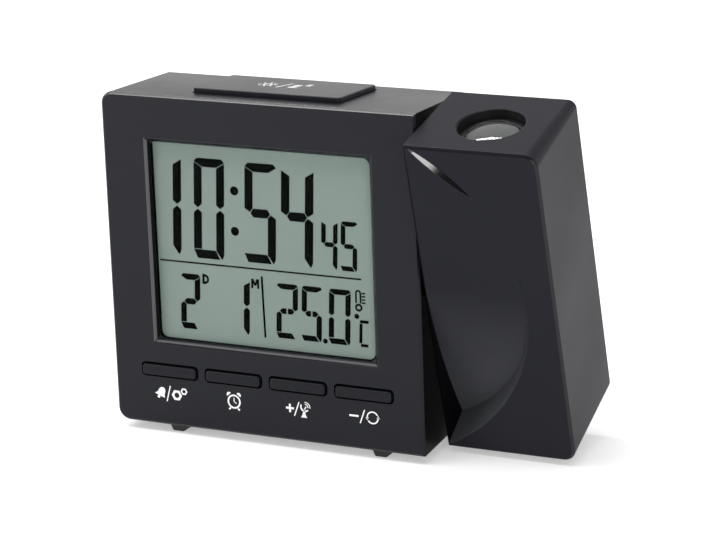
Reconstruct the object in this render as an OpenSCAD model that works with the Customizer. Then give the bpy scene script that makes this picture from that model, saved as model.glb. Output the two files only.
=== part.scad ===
// Projection alarm clock: a tapered clock housing with a liquid crystal display, four keys and a
// snooze bar, and a projector arm that tilts beside it on a hollow axle.
// Millimetres. The body stands with its front face towards -Y, its feet on Z = 0.

/* [Clock body] */
// Width of the front face on each side of the display window
side_margin = 13.55; // [13:0.05:20]
// Height of the front face above the display window
top_margin = 12.7; // [11:0.1:20]
// Height of the front face below the display window
bottom_margin = 23.9; // [22.4:0.1:32]
// Depth of the body from front face to back cover
body_d = 33; // [32:0.5:44]
// How far each side leans in between the front and the back
body_draft = 1.5; // [0.8:0.1:2.4]
// Radius of the left corners at the front
corner_r = 3.4; // [2.6:0.1:5]
// Radius of the left corners at the back
corner_back_r = 0.8; // [0.5:0.1:2]
// Bevel round the front face
edge_bevel = 0.7; // [0.4:0.1:0.9]
// Thickness of the front wall
front_wall = 2.4; // [2.2:0.1:3]
// Thickness of the side walls at the back
side_wall = 2.1; // [1.6:0.1:2.6]
// Thickness of the back cover
cover_t = 2.2; // [1.8:0.1:2.8]

/* [Projector arm] */
// Width of the arm at its front
arm_w = 35.6; // [33:0.2:48]
// Depth of the arm
arm_d = 32; // [31:0.5:40]
// Gap between the body and the arm at the front
arm_gap = 0.9; // [0.6:0.1:2]
// Height of the arm's bottom edge above the body's bottom edge
arm_lift = 1.8; // [1:0.1:4]
// Forward lean of the arm as shown
arm_tilt = 15; // [0:1:30]
// How far the arm's top falls towards the back
arm_top_draft = 1.2; // [0.6:0.1:2]
// How far the arm's bottom rises towards the back
arm_bottom_draft = 2.2; // [1:0.1:3]
// How far the arm's outer side leans in towards the back
arm_side_draft = 2; // [1:0.1:3]
// Radius of the arm's outer corners at the front
arm_corner_r = 3.4; // [2.4:0.1:5]
// Radius of the arm's outer corners at the back
arm_corner_back_r = 2.2; // [1:0.1:3]
// Thickness of the arm's walls at their thinnest
arm_wall = 2.4; // [2:0.1:3]
// Thickness of the arm's back plate
arm_back_t = 2.2; // [1.8:0.1:2.8]

/* [Finger scoop] */
// Radius of the scoop's round edge on the arm's front
scoop_r = 48.4; // [44:0.2:50]
// Distance from the arm's inner side to the centre of the scoop's edge
scoop_inset = 20.8; // [19:0.2:24]
// Radius of the scoop's curved floor
floor_r = 161; // [150:1:190]
// Height at which the floor leaves the front face
floor_top = 58.7; // [56:0.1:62]
// Inward lean of the scoop's rim for each millimetre of depth
rim_lean = 0.5; // [0.3:0.02:0.6]
// Thickness of the wall between the scoop and the arm's inner side, at the front
scoop_wall = 0.5; // [0.4:0.05:1]
// Growth of that wall for each millimetre of depth
scoop_wall_draft = 0.15; // [0.1:0.01:0.2]
// Length of the flute along the scoop's upper edge
flute_l = 20.6; // [16:0.2:22]
// Width of the flute in its middle
flute_w = 1.9; // [1.6:0.1:2.4]
// Angle at which the flute's floor dips
flute_dip = 40; // [30:1:50]

/* [Arm hinge] */
// Distance of the hinge line behind the front face
pivot_y = 16.5; // [16:0.1:18]
// Height of the hinge line above the body's bottom edge
pivot_z = 47; // [46.5:0.1:48]
// Outer diameter of the hollow axle
axle_d = 10; // [9:0.5:11]
// Bore of the hollow axle
axle_bore = 6; // [4:0.5:7]
// Radial running clearance of the axle
axle_play = 0.08; // [0.05:0.01:0.15]
// Wall of the bush that carries the axle
bush_wall = 1.6; // [1.2:0.1:2]

/* [Display] */
// Width of the display window
window_w = 63.4; // [58:0.2:80]
// Height of the display window
window_h = 53.4; // [50:0.2:66]
// Width of the bevel round the window
window_bevel = 1.3; // [0.8:0.1:1.4]
// Corner radius of the window
window_r = 1.6; // [1:0.1:3]
// Depth of the straight rim between the bevel and the clear window
window_rim = 0.3; // [0.1:0.1:0.6]
// Thickness of the clear window
window_t = 1; // [0.8:0.1:1.4]
// Thickness of the display glass
lcd_t = 2.2; // [1.8:0.1:2.6]

/* [Keys] */
// Distance from the body's side to the outer keys
key_side = 8.7; // [8:0.1:14]
// Distance between two keys
key_space = 2.9; // [2.6:0.1:6]
// Height of each key
key_h = 3; // [2.4:0.1:3.4]
// Height of the keys' centre line above the body's bottom edge
key_z = 15.25; // [14:0.05:16.2]
// How far a key stands out of the front face
key_proud = 0.7; // [0.65:0.05:1]
// Travel of a key
key_travel = 0.6; // [0.3:0.05:0.65]

/* [Snooze bar] */
// Width of the snooze bar
snooze_w = 42.4; // [30:0.2:44]
// Distance of the snooze bar behind the front face
snooze_y = 6.6; // [6:0.1:7]
// Distance of the snooze bar in front of the back face
snooze_rear = 4.5; // [4.2:0.1:8]
// How far the snooze bar stands out of the top
snooze_proud = 1.3; // [1.1:0.1:2]
// Travel of the snooze bar
snooze_travel = 0.9; // [0.5:0.1:1]

/* [Projector] */
// Diameter of the bore in the arm's top
lens_bore_d = 17; // [16:0.2:19]
// Diameter of the projection lens
lens_d = 13.6; // [12:0.2:14]
// Distance of the lens axis behind the arm's front face
lens_y = 15.6; // [15:0.1:16.2]
// Depth of the lens rim below the arm's top
lens_sink = 2.4; // [1.8:0.1:3]
// Height of the lens dome
lens_dome = 0.9; // [0.5:0.1:1.2]

/* [Batteries] */
// Diameter of a battery
battery_d = 14.5; // [10.5:0.1:14.5]
// Length of a battery, contact nub included
battery_l = 50.5; // [44.5:0.5:50.5]
// Thickness of the battery door
door_t = 1.9; // [1.6:0.1:2]

/* [Feet] */
// Height of the feet
foot_h = 2.2; // [2:0.1:4]
// Width of a foot where it meets the body
foot_w = 5.2; // [4:0.1:7]
// Width of a foot where it meets the table
foot_tip_w = 3.2; // [2.5:0.1:4]
// Length of a foot from front to back
foot_l = 5; // [4:0.5:6]

/* [Hidden] */

$fn = 64;
big = 400;
eps = 0.01;
// Clearance of a part that slides in a slot
slide_gap = 0.35;
// Clearance of a part that is laid in a pocket
seat_gap = 0.2;
// Clearance between the faces of two moving parts at rest
face_gap = 0.1;
// How far a round corner stands proud of the flat sides it joins
corner_lift = 0.02;
// Radial clearance of a screw in its pilot hole
screw_gap = 0.05;

// Colours
case_colour = [0.19, 0.19, 0.21];
key_colour = [0.2, 0.2, 0.22];
board_colour = [0.09, 0.32, 0.18];
metal_colour = [0.72, 0.72, 0.74];
black_colour = [0.06, 0.06, 0.07];

// Size of the body, round the display window
body_w = window_w + 2*side_margin;
body_h = bottom_margin + window_h + top_margin;
mid_x = body_w/2;
window_z = bottom_margin + window_h/2;

// Overall frame: origin under the middle of the clock, on the table
arm_x = body_w + arm_gap;
span_x = arm_x + arm_w;
reach_front = pivot_y - pivot_y*cos(arm_tilt) - (body_h - pivot_z)*sin(arm_tilt);
reach_back = pivot_y + (arm_d - pivot_y)*cos(arm_tilt)
    + (pivot_z - arm_lift - arm_bottom_draft)*sin(arm_tilt);
mid_y = (reach_front + reach_back)/2;

// Cavity of the housing
cavity_in = body_draft + side_wall;
cover_y = body_d - cover_t;
cover_in = body_draft + side_wall/2;
cavity_right = body_w - cavity_in;
cavity_top = body_h - cavity_in;

// Bosses for the cover screws
boss_d = 6;
boss_in = cavity_in + 3.8;
boss_x = [boss_in, body_w - boss_in];
boss_z = [boss_in + 0.8, body_h - boss_in - 0.8];
cover_screw_d = 2.5;
cover_screw_l = 10;
cover_head_d = 4.6;
cover_head_t = 1.5;

// Display stack, from the window back to the board
window_y = window_bevel + window_rim;
pane_w = window_w + 3.8;
pane_h = window_h + 3.8;
lcd_y = window_y + window_t + 0.1;
lcd_w = pane_w - 0.8;
lcd_h = pane_h - 1.2;
guide_y = lcd_y + lcd_t;
guide_t = 4.8;
board_y = guide_y + guide_t;
board_t = 1.6;
board_back = board_y + board_t;
frame_wall = 0.9;
strip_h = 2.2;
guide_bottom = 4;

// Main board and its posts: two above the display's frame, two below the keys
board_w = lcd_w - 1;
board_side = (body_w - board_w)/2;
board_post_d = 4;
post_upper_in = 17;
post_upper_z = window_z + lcd_h/2 + frame_wall + 2*seat_gap + board_post_d/2;
board_edge = 1.7;
board_high = post_upper_z + board_edge;
board_screw_d = 1.9;
board_screw_l = 5.5;
board_head_d = 3.4;
board_head_t = 1.3;
chip_w = 10;
chip_t = 1.6;
chip_h = 10;
crystal_w = 7;
crystal_t = 2.4;
crystal_h = 3;
capacitor_d = 6;
capacitor_h = 3;

// Keys and their switches
key_w = (body_w - 2*key_side - 3*key_space)/4;
key_pitch = key_w + key_space;
key_x = [for (i = [0:3]) mid_x + (i - 1.5)*key_pitch];
key_r = 0.8;
key_bevel = 0.25;
key_flange_y = front_wall + face_gap;
key_flange_t = 1;
key_flange_lip = 0.8;
switch_size = 6;
switch_t = 3.4;
plunger_d = 3.2;
plunger_t = 0.8;
key_stem_end = board_y - switch_t - plunger_t - key_travel - face_gap;
key_stem_w = 4;
key_stem_h = 2.4;
post_lower_x = [(key_x[0] + key_x[1])/2, (key_x[2] + key_x[3])/2];
post_lower_z = key_z - key_h/2 - key_flange_lip - board_post_d/2 - 0.55;
board_low = post_lower_z - board_edge - 0.5;
board_posts = concat([for (x = post_lower_x) [x, post_lower_z]],
    [for (x = [post_upper_in, body_w - post_upper_in]) [x, post_upper_z]]);

// Snooze bar: its top follows the slope of the housing's top
top_slope = atan(body_draft/body_d);
snooze_d = body_d - snooze_y - snooze_rear;
snooze_flange_lip = 1.2;
snooze_flange_t = 1.2;
snooze_under = cavity_top - face_gap;
snooze_stem_w = 4;
snooze_switch_y = board_back + 2.7;
snooze_switch_top = snooze_under - snooze_flange_t - snooze_travel - face_gap - 2;

// Feet
foot_x = [17.1, body_w - 13.6];
foot_front = 2.3;
foot_rear = body_d - cover_t - foot_l - 2;
foot_seat = 2;

// Battery bay in the back cover
bay_wall = 1.2;
bay_gap = 0.3;
bay_floor = body_d - door_t - battery_d - 2*bay_gap;
spring_room = 5.4;
plate_room = 0.6;
contact_w = 9;
contact_t = 0.4;
door_lip = 2.4;
bay_w = battery_l + spring_room + plate_room;
bay_h = 2*battery_d + 3*bay_gap;
bay_x = boss_in + boss_d/2 + door_lip + 0.5;
bay_z = boss_in + boss_d/2 + door_lip + 1.4;
battery_y = bay_floor + bay_gap + battery_d/2;
battery_z = [for (i = [0:1]) bay_z + bay_gap + battery_d/2 + i*(battery_d + bay_gap)];
battery_x = bay_x + spring_room;
nub_d = 5.4;
nub_l = 1;

// Battery door: its lower edge is round and turns on a pin at each end
door_x = bay_x - door_lip;
door_w = bay_w + 2*door_lip;
door_z = bay_z - door_lip;
door_h = bay_h + 2*door_lip;
door_pin_y = body_d - door_t/2;
door_pin_z = door_z + door_t/2;
door_pin_d = 1;
door_pin_l = 1.4;
latch_w = 12;
latch_h = 7;
slit_w = 0.7;
ridge_pitch = 1.8;

// Hinge parts, stacked along the hinge line
spot_x = body_w - body_draft - 0.2;
bush_flange_t = arm_x - spot_x - seat_gap;
bush_d = axle_d + 2*axle_play + 2*bush_wall;
bush_flange_d = bush_d + 4;
bush_end = cavity_right - 1;
spring_t = 0.6;
spring_d = bush_d + 1.5;
clip_t = 0.8;
clip_x = bush_end - spring_t - clip_t;
clip_groove = 0.7;
axle_end = clip_x - 2;
axle_flange_t = 1.8;
axle_flange_d = axle_d + 6;
arm_inner = arm_x + arm_wall;
cable_d = 3;
cable_bend = 3.2;
cable_x = body_w - board_side - cable_d/2 - 0.5;

// Power inlet and buzzer
inlet_w = 9;
inlet_h = 9;
inlet_l = 12;
inlet_hole_d = 6.2;
inlet_pin_d = 1.6;
inlet_x = cavity_right - inlet_w/2 - 2.5;
inlet_z = pivot_z + bush_flange_d/2 + 2 + inlet_h/2;
buzzer_d = 20;
buzzer_t = 4;
buzzer_mouth_d = 14;
buzzer_mouth_t = 1;
buzzer_x = mid_x - 15;
buzzer_drop = 26;
buzzer_z = body_h - buzzer_drop;
sound_pitch = 3;
sound_hole_d = 1.5;

// Height of the centre of the scoop's edge, and the cavity of the arm
scoop_z = pivot_z - 0.5;
arm_back_y = arm_d - arm_back_t;
arm_back_in = 1.1;
arm_cavity_right = span_x - arm_side_draft - arm_wall;
arm_cavity_top = body_h - arm_top_draft - arm_wall;
arm_cavity_low = arm_lift + arm_bottom_draft + arm_wall;
arm_step_z = 38;
arm_step_y = 13.6;
arm_front_y = 5;
arm_boss_d = 5;
arm_boss_in = 3.2;
arm_web = 1.2;
arm_screw_l = 5;

// Projector, stacked along the lens axis from the arm's top down
lens_off = 0.3;
lens_x = arm_x + arm_w/2 - lens_off;
arm_top_at_lens = body_h - arm_top_draft*lens_y/arm_d;
lens_rim_z = arm_top_at_lens - lens_sink;
lens_t = 3;
barrel_d = lens_bore_d - 2*seat_gap;
barrel_low = 66;
barrel_bore = lens_d - 1.6;
collar_t = 2;
image_t = 1.4;
image_w = 13;
tube_w = 15;
tube_h = 14;
tube_low = barrel_low - image_t - tube_h;
led_d = 5;
arm_board_x = arm_inner + axle_flange_t + 2.4;
arm_board_h = 20;

// Each boss of the arm's back: x, z and where it starts; the upper one clears the barrel
arm_boss = [
    [arm_inner + arm_boss_in, arm_cavity_low + 4, arm_step_y - 1],
    [arm_cavity_right - arm_boss_in, arm_cavity_low + 4, arm_step_y - 1],
    [arm_cavity_right - arm_boss_in, arm_cavity_top - 4, lens_y + lens_bore_d/2 + 0.2]];

// ---------------------------------------------------------------- frames and helpers

// Puts what is drawn from the body's lower left front corner into the overall frame
module clock_frame() {
    translate([-span_x/2, -mid_y, foot_h]) children();
}

// The same, leaned forward about the hinge line with the arm
module arm_frame() {
    clock_frame() translate([0, pivot_y, pivot_z]) rotate([arm_tilt, 0, 0])
        translate([0, -pivot_y, -pivot_z]) children();
}

// Rounded rectangle about the origin
module round_rect(w, h, r) {
    square([w - 2*r, h], center = true);
    square([w, h - 2*r], center = true);
    for (sx = [-1, 1], sz = [-1, 1])
        translate([sx*(w/2 - r), sz*(h/2 - r)]) circle(r);
}

// Block that lies flat against the front: outline in X and Z, from y to y + t
module front_block(x, z, y, t, w, h, r) {
    translate([x, y + t, z]) rotate([90, 0, 0]) linear_extrude(t) round_rect(w, h, r);
}

// Rod along X, from x to x + l
module rod_x(x, y, z, l, d) {
    translate([x, y, z]) rotate([0, 90, 0]) cylinder(h = l, d = d);
}

// Rod along Y, from y to y + l
module rod_y(x, y, z, l, d) {
    translate([x, y, z]) rotate([-90, 0, 0]) cylinder(h = l, d = d);
}

// Waste outside one round corner that runs from the front to the back and tapers.
// front and back are the corner's [x, z] there, side and rise say which way it points.
module corner_waste(front, back, depth, r_front, r_back, bevel, side, rise) {
    x0 = front[0] - side*(r_front - corner_lift);
    z0 = front[1] - rise*(r_front - corner_lift);
    x1 = back[0] - side*(r_back - corner_lift);
    z1 = back[1] - rise*(r_back - corner_lift);
    run = norm([x1 - x0, depth, z1 - z0]);
    r_bevel = r_front + (r_back - r_front)*bevel/run;
    over = 3;
    difference() {
        intersection() {
            translate([0, 0, z0]) rotate([atan((z1 - z0)/depth), 0, 0])
                translate([-big/2, -big/2, rise > 0 ? 0 : -big]) cube(big);
            translate([x0, 0, 0]) rotate([0, 0, -atan((x1 - x0)/depth)])
                translate([side > 0 ? 0 : -big, -big/2, -big/2]) cube(big);
        }
        translate([x0, 0, z0]) rotate([0, acos((z1 - z0)/run), atan2(depth, x1 - x0)]) {
            translate([0, 0, bevel])
                cylinder(h = run + over - bevel, r1 = r_bevel,
                    r2 = r_front + (r_back - r_front)*(run + over)/run);
            translate([0, 0, -1])
                cylinder(h = bevel + 1, r1 = r_bevel - bevel - 1, r2 = r_bevel);
        }
    }
}

// Box whose sides lean in towards the back, with a bevel round the front face.
// lean holds the left, right, bottom and top drafts; a draft of 0 leaves its side upright.
module tapered_box(w, d, h, lean, bevel) {
    difference() {
        cube([w, d, h]);
        if (lean[0] > 0) rotate([0, 0, -atan(lean[0]/d)])
            translate([-big, -big/2, -big/2]) cube(big);
        translate([w, 0, 0]) rotate([0, 0, atan(lean[1]/d)])
            translate([0, -big/2, -big/2]) cube(big);
        rotate([atan(lean[2]/d), 0, 0]) translate([-big/2, -big/2, -big]) cube(big);
        translate([0, 0, h]) rotate([-atan(lean[3]/d), 0, 0])
            translate([-big/2, -big/2, 0]) cube(big);
        translate([bevel, 0, 0]) rotate([0, 0, -45])
            translate([-big/2, -big, -big/2]) cube(big);
        translate([w - bevel, 0, 0]) rotate([0, 0, 45])
            translate([-big/2, -big, -big/2]) cube(big);
        translate([0, 0, bevel]) rotate([-45, 0, 0])
            translate([-big/2, -big/2, -big]) cube(big);
        translate([0, 0, h - bevel]) rotate([45, 0, 0])
            translate([-big/2, -big/2, 0]) cube(big);
    }
}

// ---------------------------------------------------------------- clock housing

module body_outside() {
    difference() {
        tapered_box(body_w, body_d, body_h, [body_draft, body_draft, body_draft, body_draft],
            edge_bevel);
        corner_waste([0, body_h], [body_draft, body_h - body_draft], body_d,
            corner_r, corner_back_r, edge_bevel, -1, 1);
        corner_waste([0, 0], [body_draft, body_draft], body_d,
            corner_r, corner_back_r, edge_bevel, -1, -1);
    }
}

// Opening for the display: a 45 degree bevel, a straight rim and a pocket for the pane
module window_opening() {
    bevel_run = window_bevel + eps;
    intersection() {
        translate([mid_x, 0, window_z - window_h]) linear_extrude(2*window_h) polygon([
            [-window_w/2 - bevel_run, -eps], [window_w/2 + bevel_run, -eps],
            [window_w/2, window_bevel], [-window_w/2, window_bevel]]);
        translate([mid_x - window_w, 0, window_z]) rotate([90, 0, 90])
            linear_extrude(2*window_w) polygon([
            [-eps, -window_h/2 - bevel_run], [-eps, window_h/2 + bevel_run],
            [window_bevel, window_h/2], [window_bevel, -window_h/2]]);
    }
    front_block(mid_x, window_z, window_bevel - eps, front_wall, window_w, window_h, window_r);
    front_block(mid_x, window_z, window_y, front_wall, pane_w + 2*seat_gap,
        pane_h + 2*seat_gap, window_r);
}

// Boss for a cover screw, with webs to the two nearest walls
module cover_boss(x, z) {
    to_x = x < mid_x ? cavity_in - 1 : cavity_right + 1;
    to_z = z < body_h/2 ? cavity_in - 1 : cavity_top + 1;
    rod_y(x, front_wall - 1, z, cover_y - front_wall + 1, boss_d);
    translate([min(x, to_x), front_wall - 1, z - 0.6])
        cube([abs(x - to_x), cover_y - front_wall - 3, 1.2]);
    translate([x - 0.6, front_wall - 1, min(z, to_z)])
        cube([1.2, cover_y - front_wall - 3, abs(z - to_z)]);
}

module foot_pocket(x, y) {
    translate([x - foot_w/2 - face_gap, y - face_gap, -1])
        cube([foot_w + 2*face_gap, foot_l + 2*face_gap, foot_seat + 1]);
}

module housing() {
    color(case_colour) clock_frame() difference() {
        union() {
            difference() {
                body_outside();
                translate([cavity_in, front_wall, cavity_in])
                    cube([cavity_right - cavity_in, body_d, cavity_top - cavity_in]);
                translate([cover_in, cover_y, cover_in])
                    cube([body_w - 2*cover_in, body_d, body_h - 2*cover_in]);
            }
            for (x = boss_x, z = boss_z) cover_boss(x, z);
            for (p = board_posts)
                rod_y(p[0], front_wall - 1, p[1], board_y - front_wall + 1, board_post_d);
            rod_x(bush_end + face_gap, pivot_y, pivot_z, spot_x - bush_end - 0.3,
                bush_flange_d + 3);
        }
        window_opening();
        for (x = key_x)
            front_block(x, key_z, -1, front_wall + 2, key_w + 2*slide_gap, key_h + 2*slide_gap,
                key_r + slide_gap);
        translate([mid_x, snooze_y + snooze_d/2, cavity_top - 1]) linear_extrude(body_h)
            round_rect(snooze_w + 2*slide_gap, snooze_d + 2*slide_gap, 1 + slide_gap);
        for (x = boss_x, z = boss_z)
            rod_y(x, cover_y - cover_screw_l, z, cover_screw_l + 1, cover_screw_d + 2*screw_gap);
        for (p = board_posts)
            rod_y(p[0], board_back - board_screw_l, p[1], board_screw_l,
                board_screw_d + 2*screw_gap);
        rod_x(spot_x, pivot_y, pivot_z, 10, bush_flange_d + 2*seat_gap);
        rod_x(cavity_right - 8, pivot_y, pivot_z, 20, bush_d + 2*screw_gap);
        for (x = foot_x, y = [foot_front, foot_rear]) foot_pocket(x, y);
    }
}

// Trapezoid foot pressed into a pocket in the bottom of the body
module feet() {
    color(black_colour) clock_frame()
        for (x = foot_x, y = [foot_front, foot_rear])
            translate([x, y + foot_l, 0]) rotate([90, 0, 0]) linear_extrude(foot_l) polygon([
                [-foot_w/2, foot_seat], [-foot_w/2, 0], [-foot_tip_w/2, -foot_h],
                [foot_tip_w/2, -foot_h], [foot_w/2, 0], [foot_w/2, foot_seat]]);
}

// ---------------------------------------------------------------- back cover and batteries

module back_cover() {
    cover_w = body_w - 2*cover_in - 2*seat_gap;
    cover_h = body_h - 2*cover_in - 2*seat_gap;
    color(case_colour) clock_frame() difference() {
        union() {
            translate([cover_in + seat_gap, cover_y, cover_in + seat_gap])
                cube([cover_w, cover_t, cover_h]);
            translate([bay_x - bay_wall, bay_floor - bay_wall, bay_z - bay_wall])
                cube([bay_w + 2*bay_wall, cover_y - bay_floor + bay_wall + eps,
                    bay_h + 2*bay_wall]);
            translate([door_x, cover_y - bay_wall, door_z])
                cube([door_w, bay_wall + eps, door_h]);
        }
        translate([bay_x, bay_floor, bay_z]) cube([bay_w, body_d, bay_h]);
        translate([door_x - seat_gap, body_d - door_t - seat_gap, door_z - seat_gap])
            cube([door_w + 2*seat_gap, body_d, door_h + 2*seat_gap]);
        rod_x(door_x - door_pin_l - 2*seat_gap, door_pin_y, door_pin_z,
            door_w + 2*door_pin_l + 4*seat_gap, door_pin_d + 2*axle_play);
        translate([door_x + door_w/2 - latch_w/2, body_d - 1.2, door_z + door_h - 1])
            cube([latch_w, 2, 4.2]);
        for (x = boss_x, z = boss_z) {
            rod_y(x, cover_y - 1, z, 5, cover_screw_d + 0.6);
            rod_y(x, body_d - cover_head_t + 0.2, z, 5, cover_head_d + 0.5);
        }
        rod_y(inlet_x, cover_y - 1, inlet_z, 5, inlet_hole_d + 1.6);
        for (i = [-2:2], j = [-2:2])
            if (norm([i, j]) < 2.4)
                rod_y(buzzer_x + i*sound_pitch, cover_y - 1, buzzer_z + j*sound_pitch,
                    cover_t + 2, sound_hole_d);
    }
}

// Door with a round lower edge on two pins, and a springy latch tongue above
module battery_door() {
    latch_x = door_x + door_w/2;
    color(case_colour) clock_frame() difference() {
        union() {
            translate([door_x, body_d - door_t, door_pin_z]) cube([door_w, door_t, door_h - door_t/2]);
            rod_x(door_x, door_pin_y, door_pin_z, door_w, door_t);
            rod_x(door_x - door_pin_l, door_pin_y, door_pin_z, door_w + 2*door_pin_l, door_pin_d);
        }
        for (side = [-1, 1])
            translate([latch_x + side*latch_w/2 - slit_w/2, body_d - 3, door_z + door_h - latch_h])
                cube([slit_w, 4, latch_h + 1]);
        translate([latch_x - latch_w/2, body_d - 0.8, door_z + door_h - 2]) cube([latch_w, 2, 3]);
        for (i = [0:6])
            translate([latch_x - latch_w/2, body_d - 0.4,
                door_z + door_h - latch_h - (i + 2)*ridge_pitch])
                cube([latch_w, 1, ridge_pitch/2]);
    }
}

module battery(i) {
    color(i == 0 ? "silver" : "gray") clock_frame() {
        rod_x(battery_x, battery_y, battery_z[i], battery_l - nub_l, battery_d);
        rod_x(battery_x + battery_l - nub_l - eps, battery_y, battery_z[i], nub_l, nub_d);
    }
}

module battery_lower() {
    battery(0);
}

module battery_upper() {
    battery(1);
}

// Stepped cone springs on the negative side
module battery_springs() {
    turns = 4;
    wire = 0.8;
    coil_r = 4.2;
    coil_step = (spring_room - wire - contact_t)/(turns - 1);
    color(metal_colour) clock_frame() for (z = battery_z) {
        translate([bay_x, battery_y - contact_w/2, z - contact_w/2])
            cube([contact_t, contact_w, contact_w]);
        for (k = [0:turns - 1])
            translate([bay_x + contact_t + wire/2 - 0.05 + k*coil_step, battery_y, z])
                rotate([0, 90, 0]) rotate_extrude() translate([coil_r*(1 - k/6), 0])
                    circle(d = wire);
        rod_x(bay_x + contact_t/2, battery_y, z + coil_r/2, spring_room - contact_t, wire);
    }
}

module battery_plates() {
    color(metal_colour) clock_frame() for (z = battery_z)
        translate([bay_x + bay_w - contact_t, battery_y - contact_w/2, z - contact_w/2])
            cube([contact_t, contact_w, contact_w]);
}

module cover_screws() {
    color(metal_colour) clock_frame() for (x = boss_x, z = boss_z) difference() {
        union() {
            rod_y(x, body_d - cover_head_t + 0.2 - cover_screw_l + 1, z, cover_screw_l, cover_screw_d);
            rod_y(x, body_d - cover_head_t + 0.2, z, cover_head_t - 0.4, cover_head_d);
        }
        for (a = [0, 90])
            translate([x, body_d, z]) rotate([0, a, 0]) cube([2.6, 1.8, 0.7], center = true);
    }
}

// Barrel jack: open socket with a centre pin
module dc_inlet() {
    color(black_colour) clock_frame() {
        difference() {
            union() {
                translate([inlet_x - inlet_w/2, cover_y - inlet_l, inlet_z - inlet_h/2])
                    cube([inlet_w, inlet_l, inlet_h]);
                rod_y(inlet_x, cover_y - 1, inlet_z, cover_t + 0.8, inlet_hole_d + 1.2);
            }
            rod_y(inlet_x, cover_y - inlet_l + 2, inlet_z, inlet_l + 3, inlet_hole_d);
        }
        rod_y(inlet_x, cover_y - inlet_l + 1, inlet_z, inlet_l - 1, inlet_pin_d);
    }
}

module buzzer() {
    color(black_colour) clock_frame() difference() {
        rod_y(buzzer_x, cover_y - buzzer_t, buzzer_z, buzzer_t, buzzer_d);
        rod_y(buzzer_x, cover_y - buzzer_mouth_t, buzzer_z, 2, buzzer_mouth_d);
        rod_y(buzzer_x, cover_y - buzzer_t/2, buzzer_z, buzzer_t, sound_pitch);
    }
}

// ---------------------------------------------------------------- display and main board

module lcd_window() {
    color([0.75, 0.82, 0.8, 0.35]) clock_frame()
        front_block(mid_x, window_z, window_y, window_t, pane_w, pane_h, window_r);
}

module lcd_panel() {
    color([0.55, 0.62, 0.58]) clock_frame()
        front_block(mid_x, window_z, lcd_y, lcd_t, lcd_w, lcd_h, 0.4);
}

module light_guide() {
    color([0.9, 0.92, 0.9]) clock_frame()
        translate([mid_x - lcd_w/2 + 0.4, guide_y, window_z - lcd_h/2 + guide_bottom])
            cube([lcd_w - 0.8, board_y - guide_y, lcd_h - guide_bottom - 0.4]);
}

module lcd_frame() {
    color([0.85, 0.85, 0.82]) clock_frame() difference() {
        front_block(mid_x, window_z, window_y + window_t, board_y - window_y - window_t,
            lcd_w + 2*frame_wall + 0.4, lcd_h + 2*frame_wall + 0.4, 1);
        front_block(mid_x, window_z, window_y + window_t - 1, board_y, lcd_w + 0.4,
            lcd_h + 0.4, 0.4);
    }
}

module zebra_strip() {
    color(black_colour) clock_frame()
        translate([mid_x - lcd_w/2 + 1, guide_y, window_z - lcd_h/2 + 0.6])
            cube([lcd_w - 2, board_y - guide_y, strip_h]);
}

module main_board() {
    color(board_colour) clock_frame() difference() {
        translate([board_side, board_y, board_low])
            cube([board_w, board_t, board_high - board_low]);
        for (p = board_posts)
            rod_y(p[0], board_y - 1, p[1], board_t + 2, board_screw_d + 2*seat_gap);
    }
}

module clock_chip() {
    color(black_colour) clock_frame() {
        translate([mid_x + chip_w, board_back, window_z]) cube([chip_w, chip_t, chip_h]);
        translate([mid_x + chip_w, board_back, window_z + 1.4*chip_h])
            cube([crystal_w, crystal_t, crystal_h]);
        rod_y(mid_x - capacitor_d, board_back, window_z + chip_h, capacitor_h, capacitor_d);
    }
}

module board_screws() {
    color(metal_colour) clock_frame() for (p = board_posts) difference() {
        union() {
            rod_y(p[0], board_back - board_screw_l, p[1], board_screw_l + 0.5, board_screw_d);
            rod_y(p[0], board_back, p[1], board_head_t, board_head_d);
        }
        translate([p[0], board_back + board_head_t, p[1]])
            cube([0.7*board_head_d, board_head_t, 0.2*board_head_d], center = true);
    }
}

module key_switches() {
    color(black_colour) clock_frame() for (x = key_x) {
        translate([x - switch_size/2, board_y - switch_t, key_z - switch_size/2])
            cube([switch_size, switch_t, switch_size]);
        rod_y(x, board_y - switch_t - plunger_t, key_z, plunger_t + 0.2, plunger_d);
    }
}

module snooze_switch() {
    color(black_colour) clock_frame() {
        translate([mid_x - 3, board_back, snooze_switch_top - 6.4]) cube([6, 5.4, 6.4]);
        translate([mid_x, snooze_switch_y, snooze_switch_top - 0.2])
            cylinder(h = 1, d = plunger_d);
    }
}

// Key: a cap with a soft bevel, a flange behind the front wall and a stem to its switch
module key(i) {
    color(key_colour) clock_frame() {
        front_block(key_x[i], key_z, key_bevel - key_proud,
            key_flange_y + key_proud - key_bevel + eps, key_w, key_h, key_r);
        front_block(key_x[i], key_z, -key_proud, key_bevel + eps, key_w - 2*key_bevel,
            key_h - 2*key_bevel, key_r - key_bevel);
        front_block(key_x[i], key_z, key_flange_y, key_flange_t, key_w + 2*key_flange_lip,
            key_h + 2*key_flange_lip, key_r);
        translate([key_x[i] - key_stem_w/2, key_flange_y, key_z - key_stem_h/2])
            cube([key_stem_w, key_stem_end - key_flange_y, key_stem_h]);
    }
}

module bell_key() {
    key(0);
}

module alarm_key() {
    key(1);
}

module plus_key() {
    key(2);
}

module minus_key() {
    key(3);
}

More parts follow.
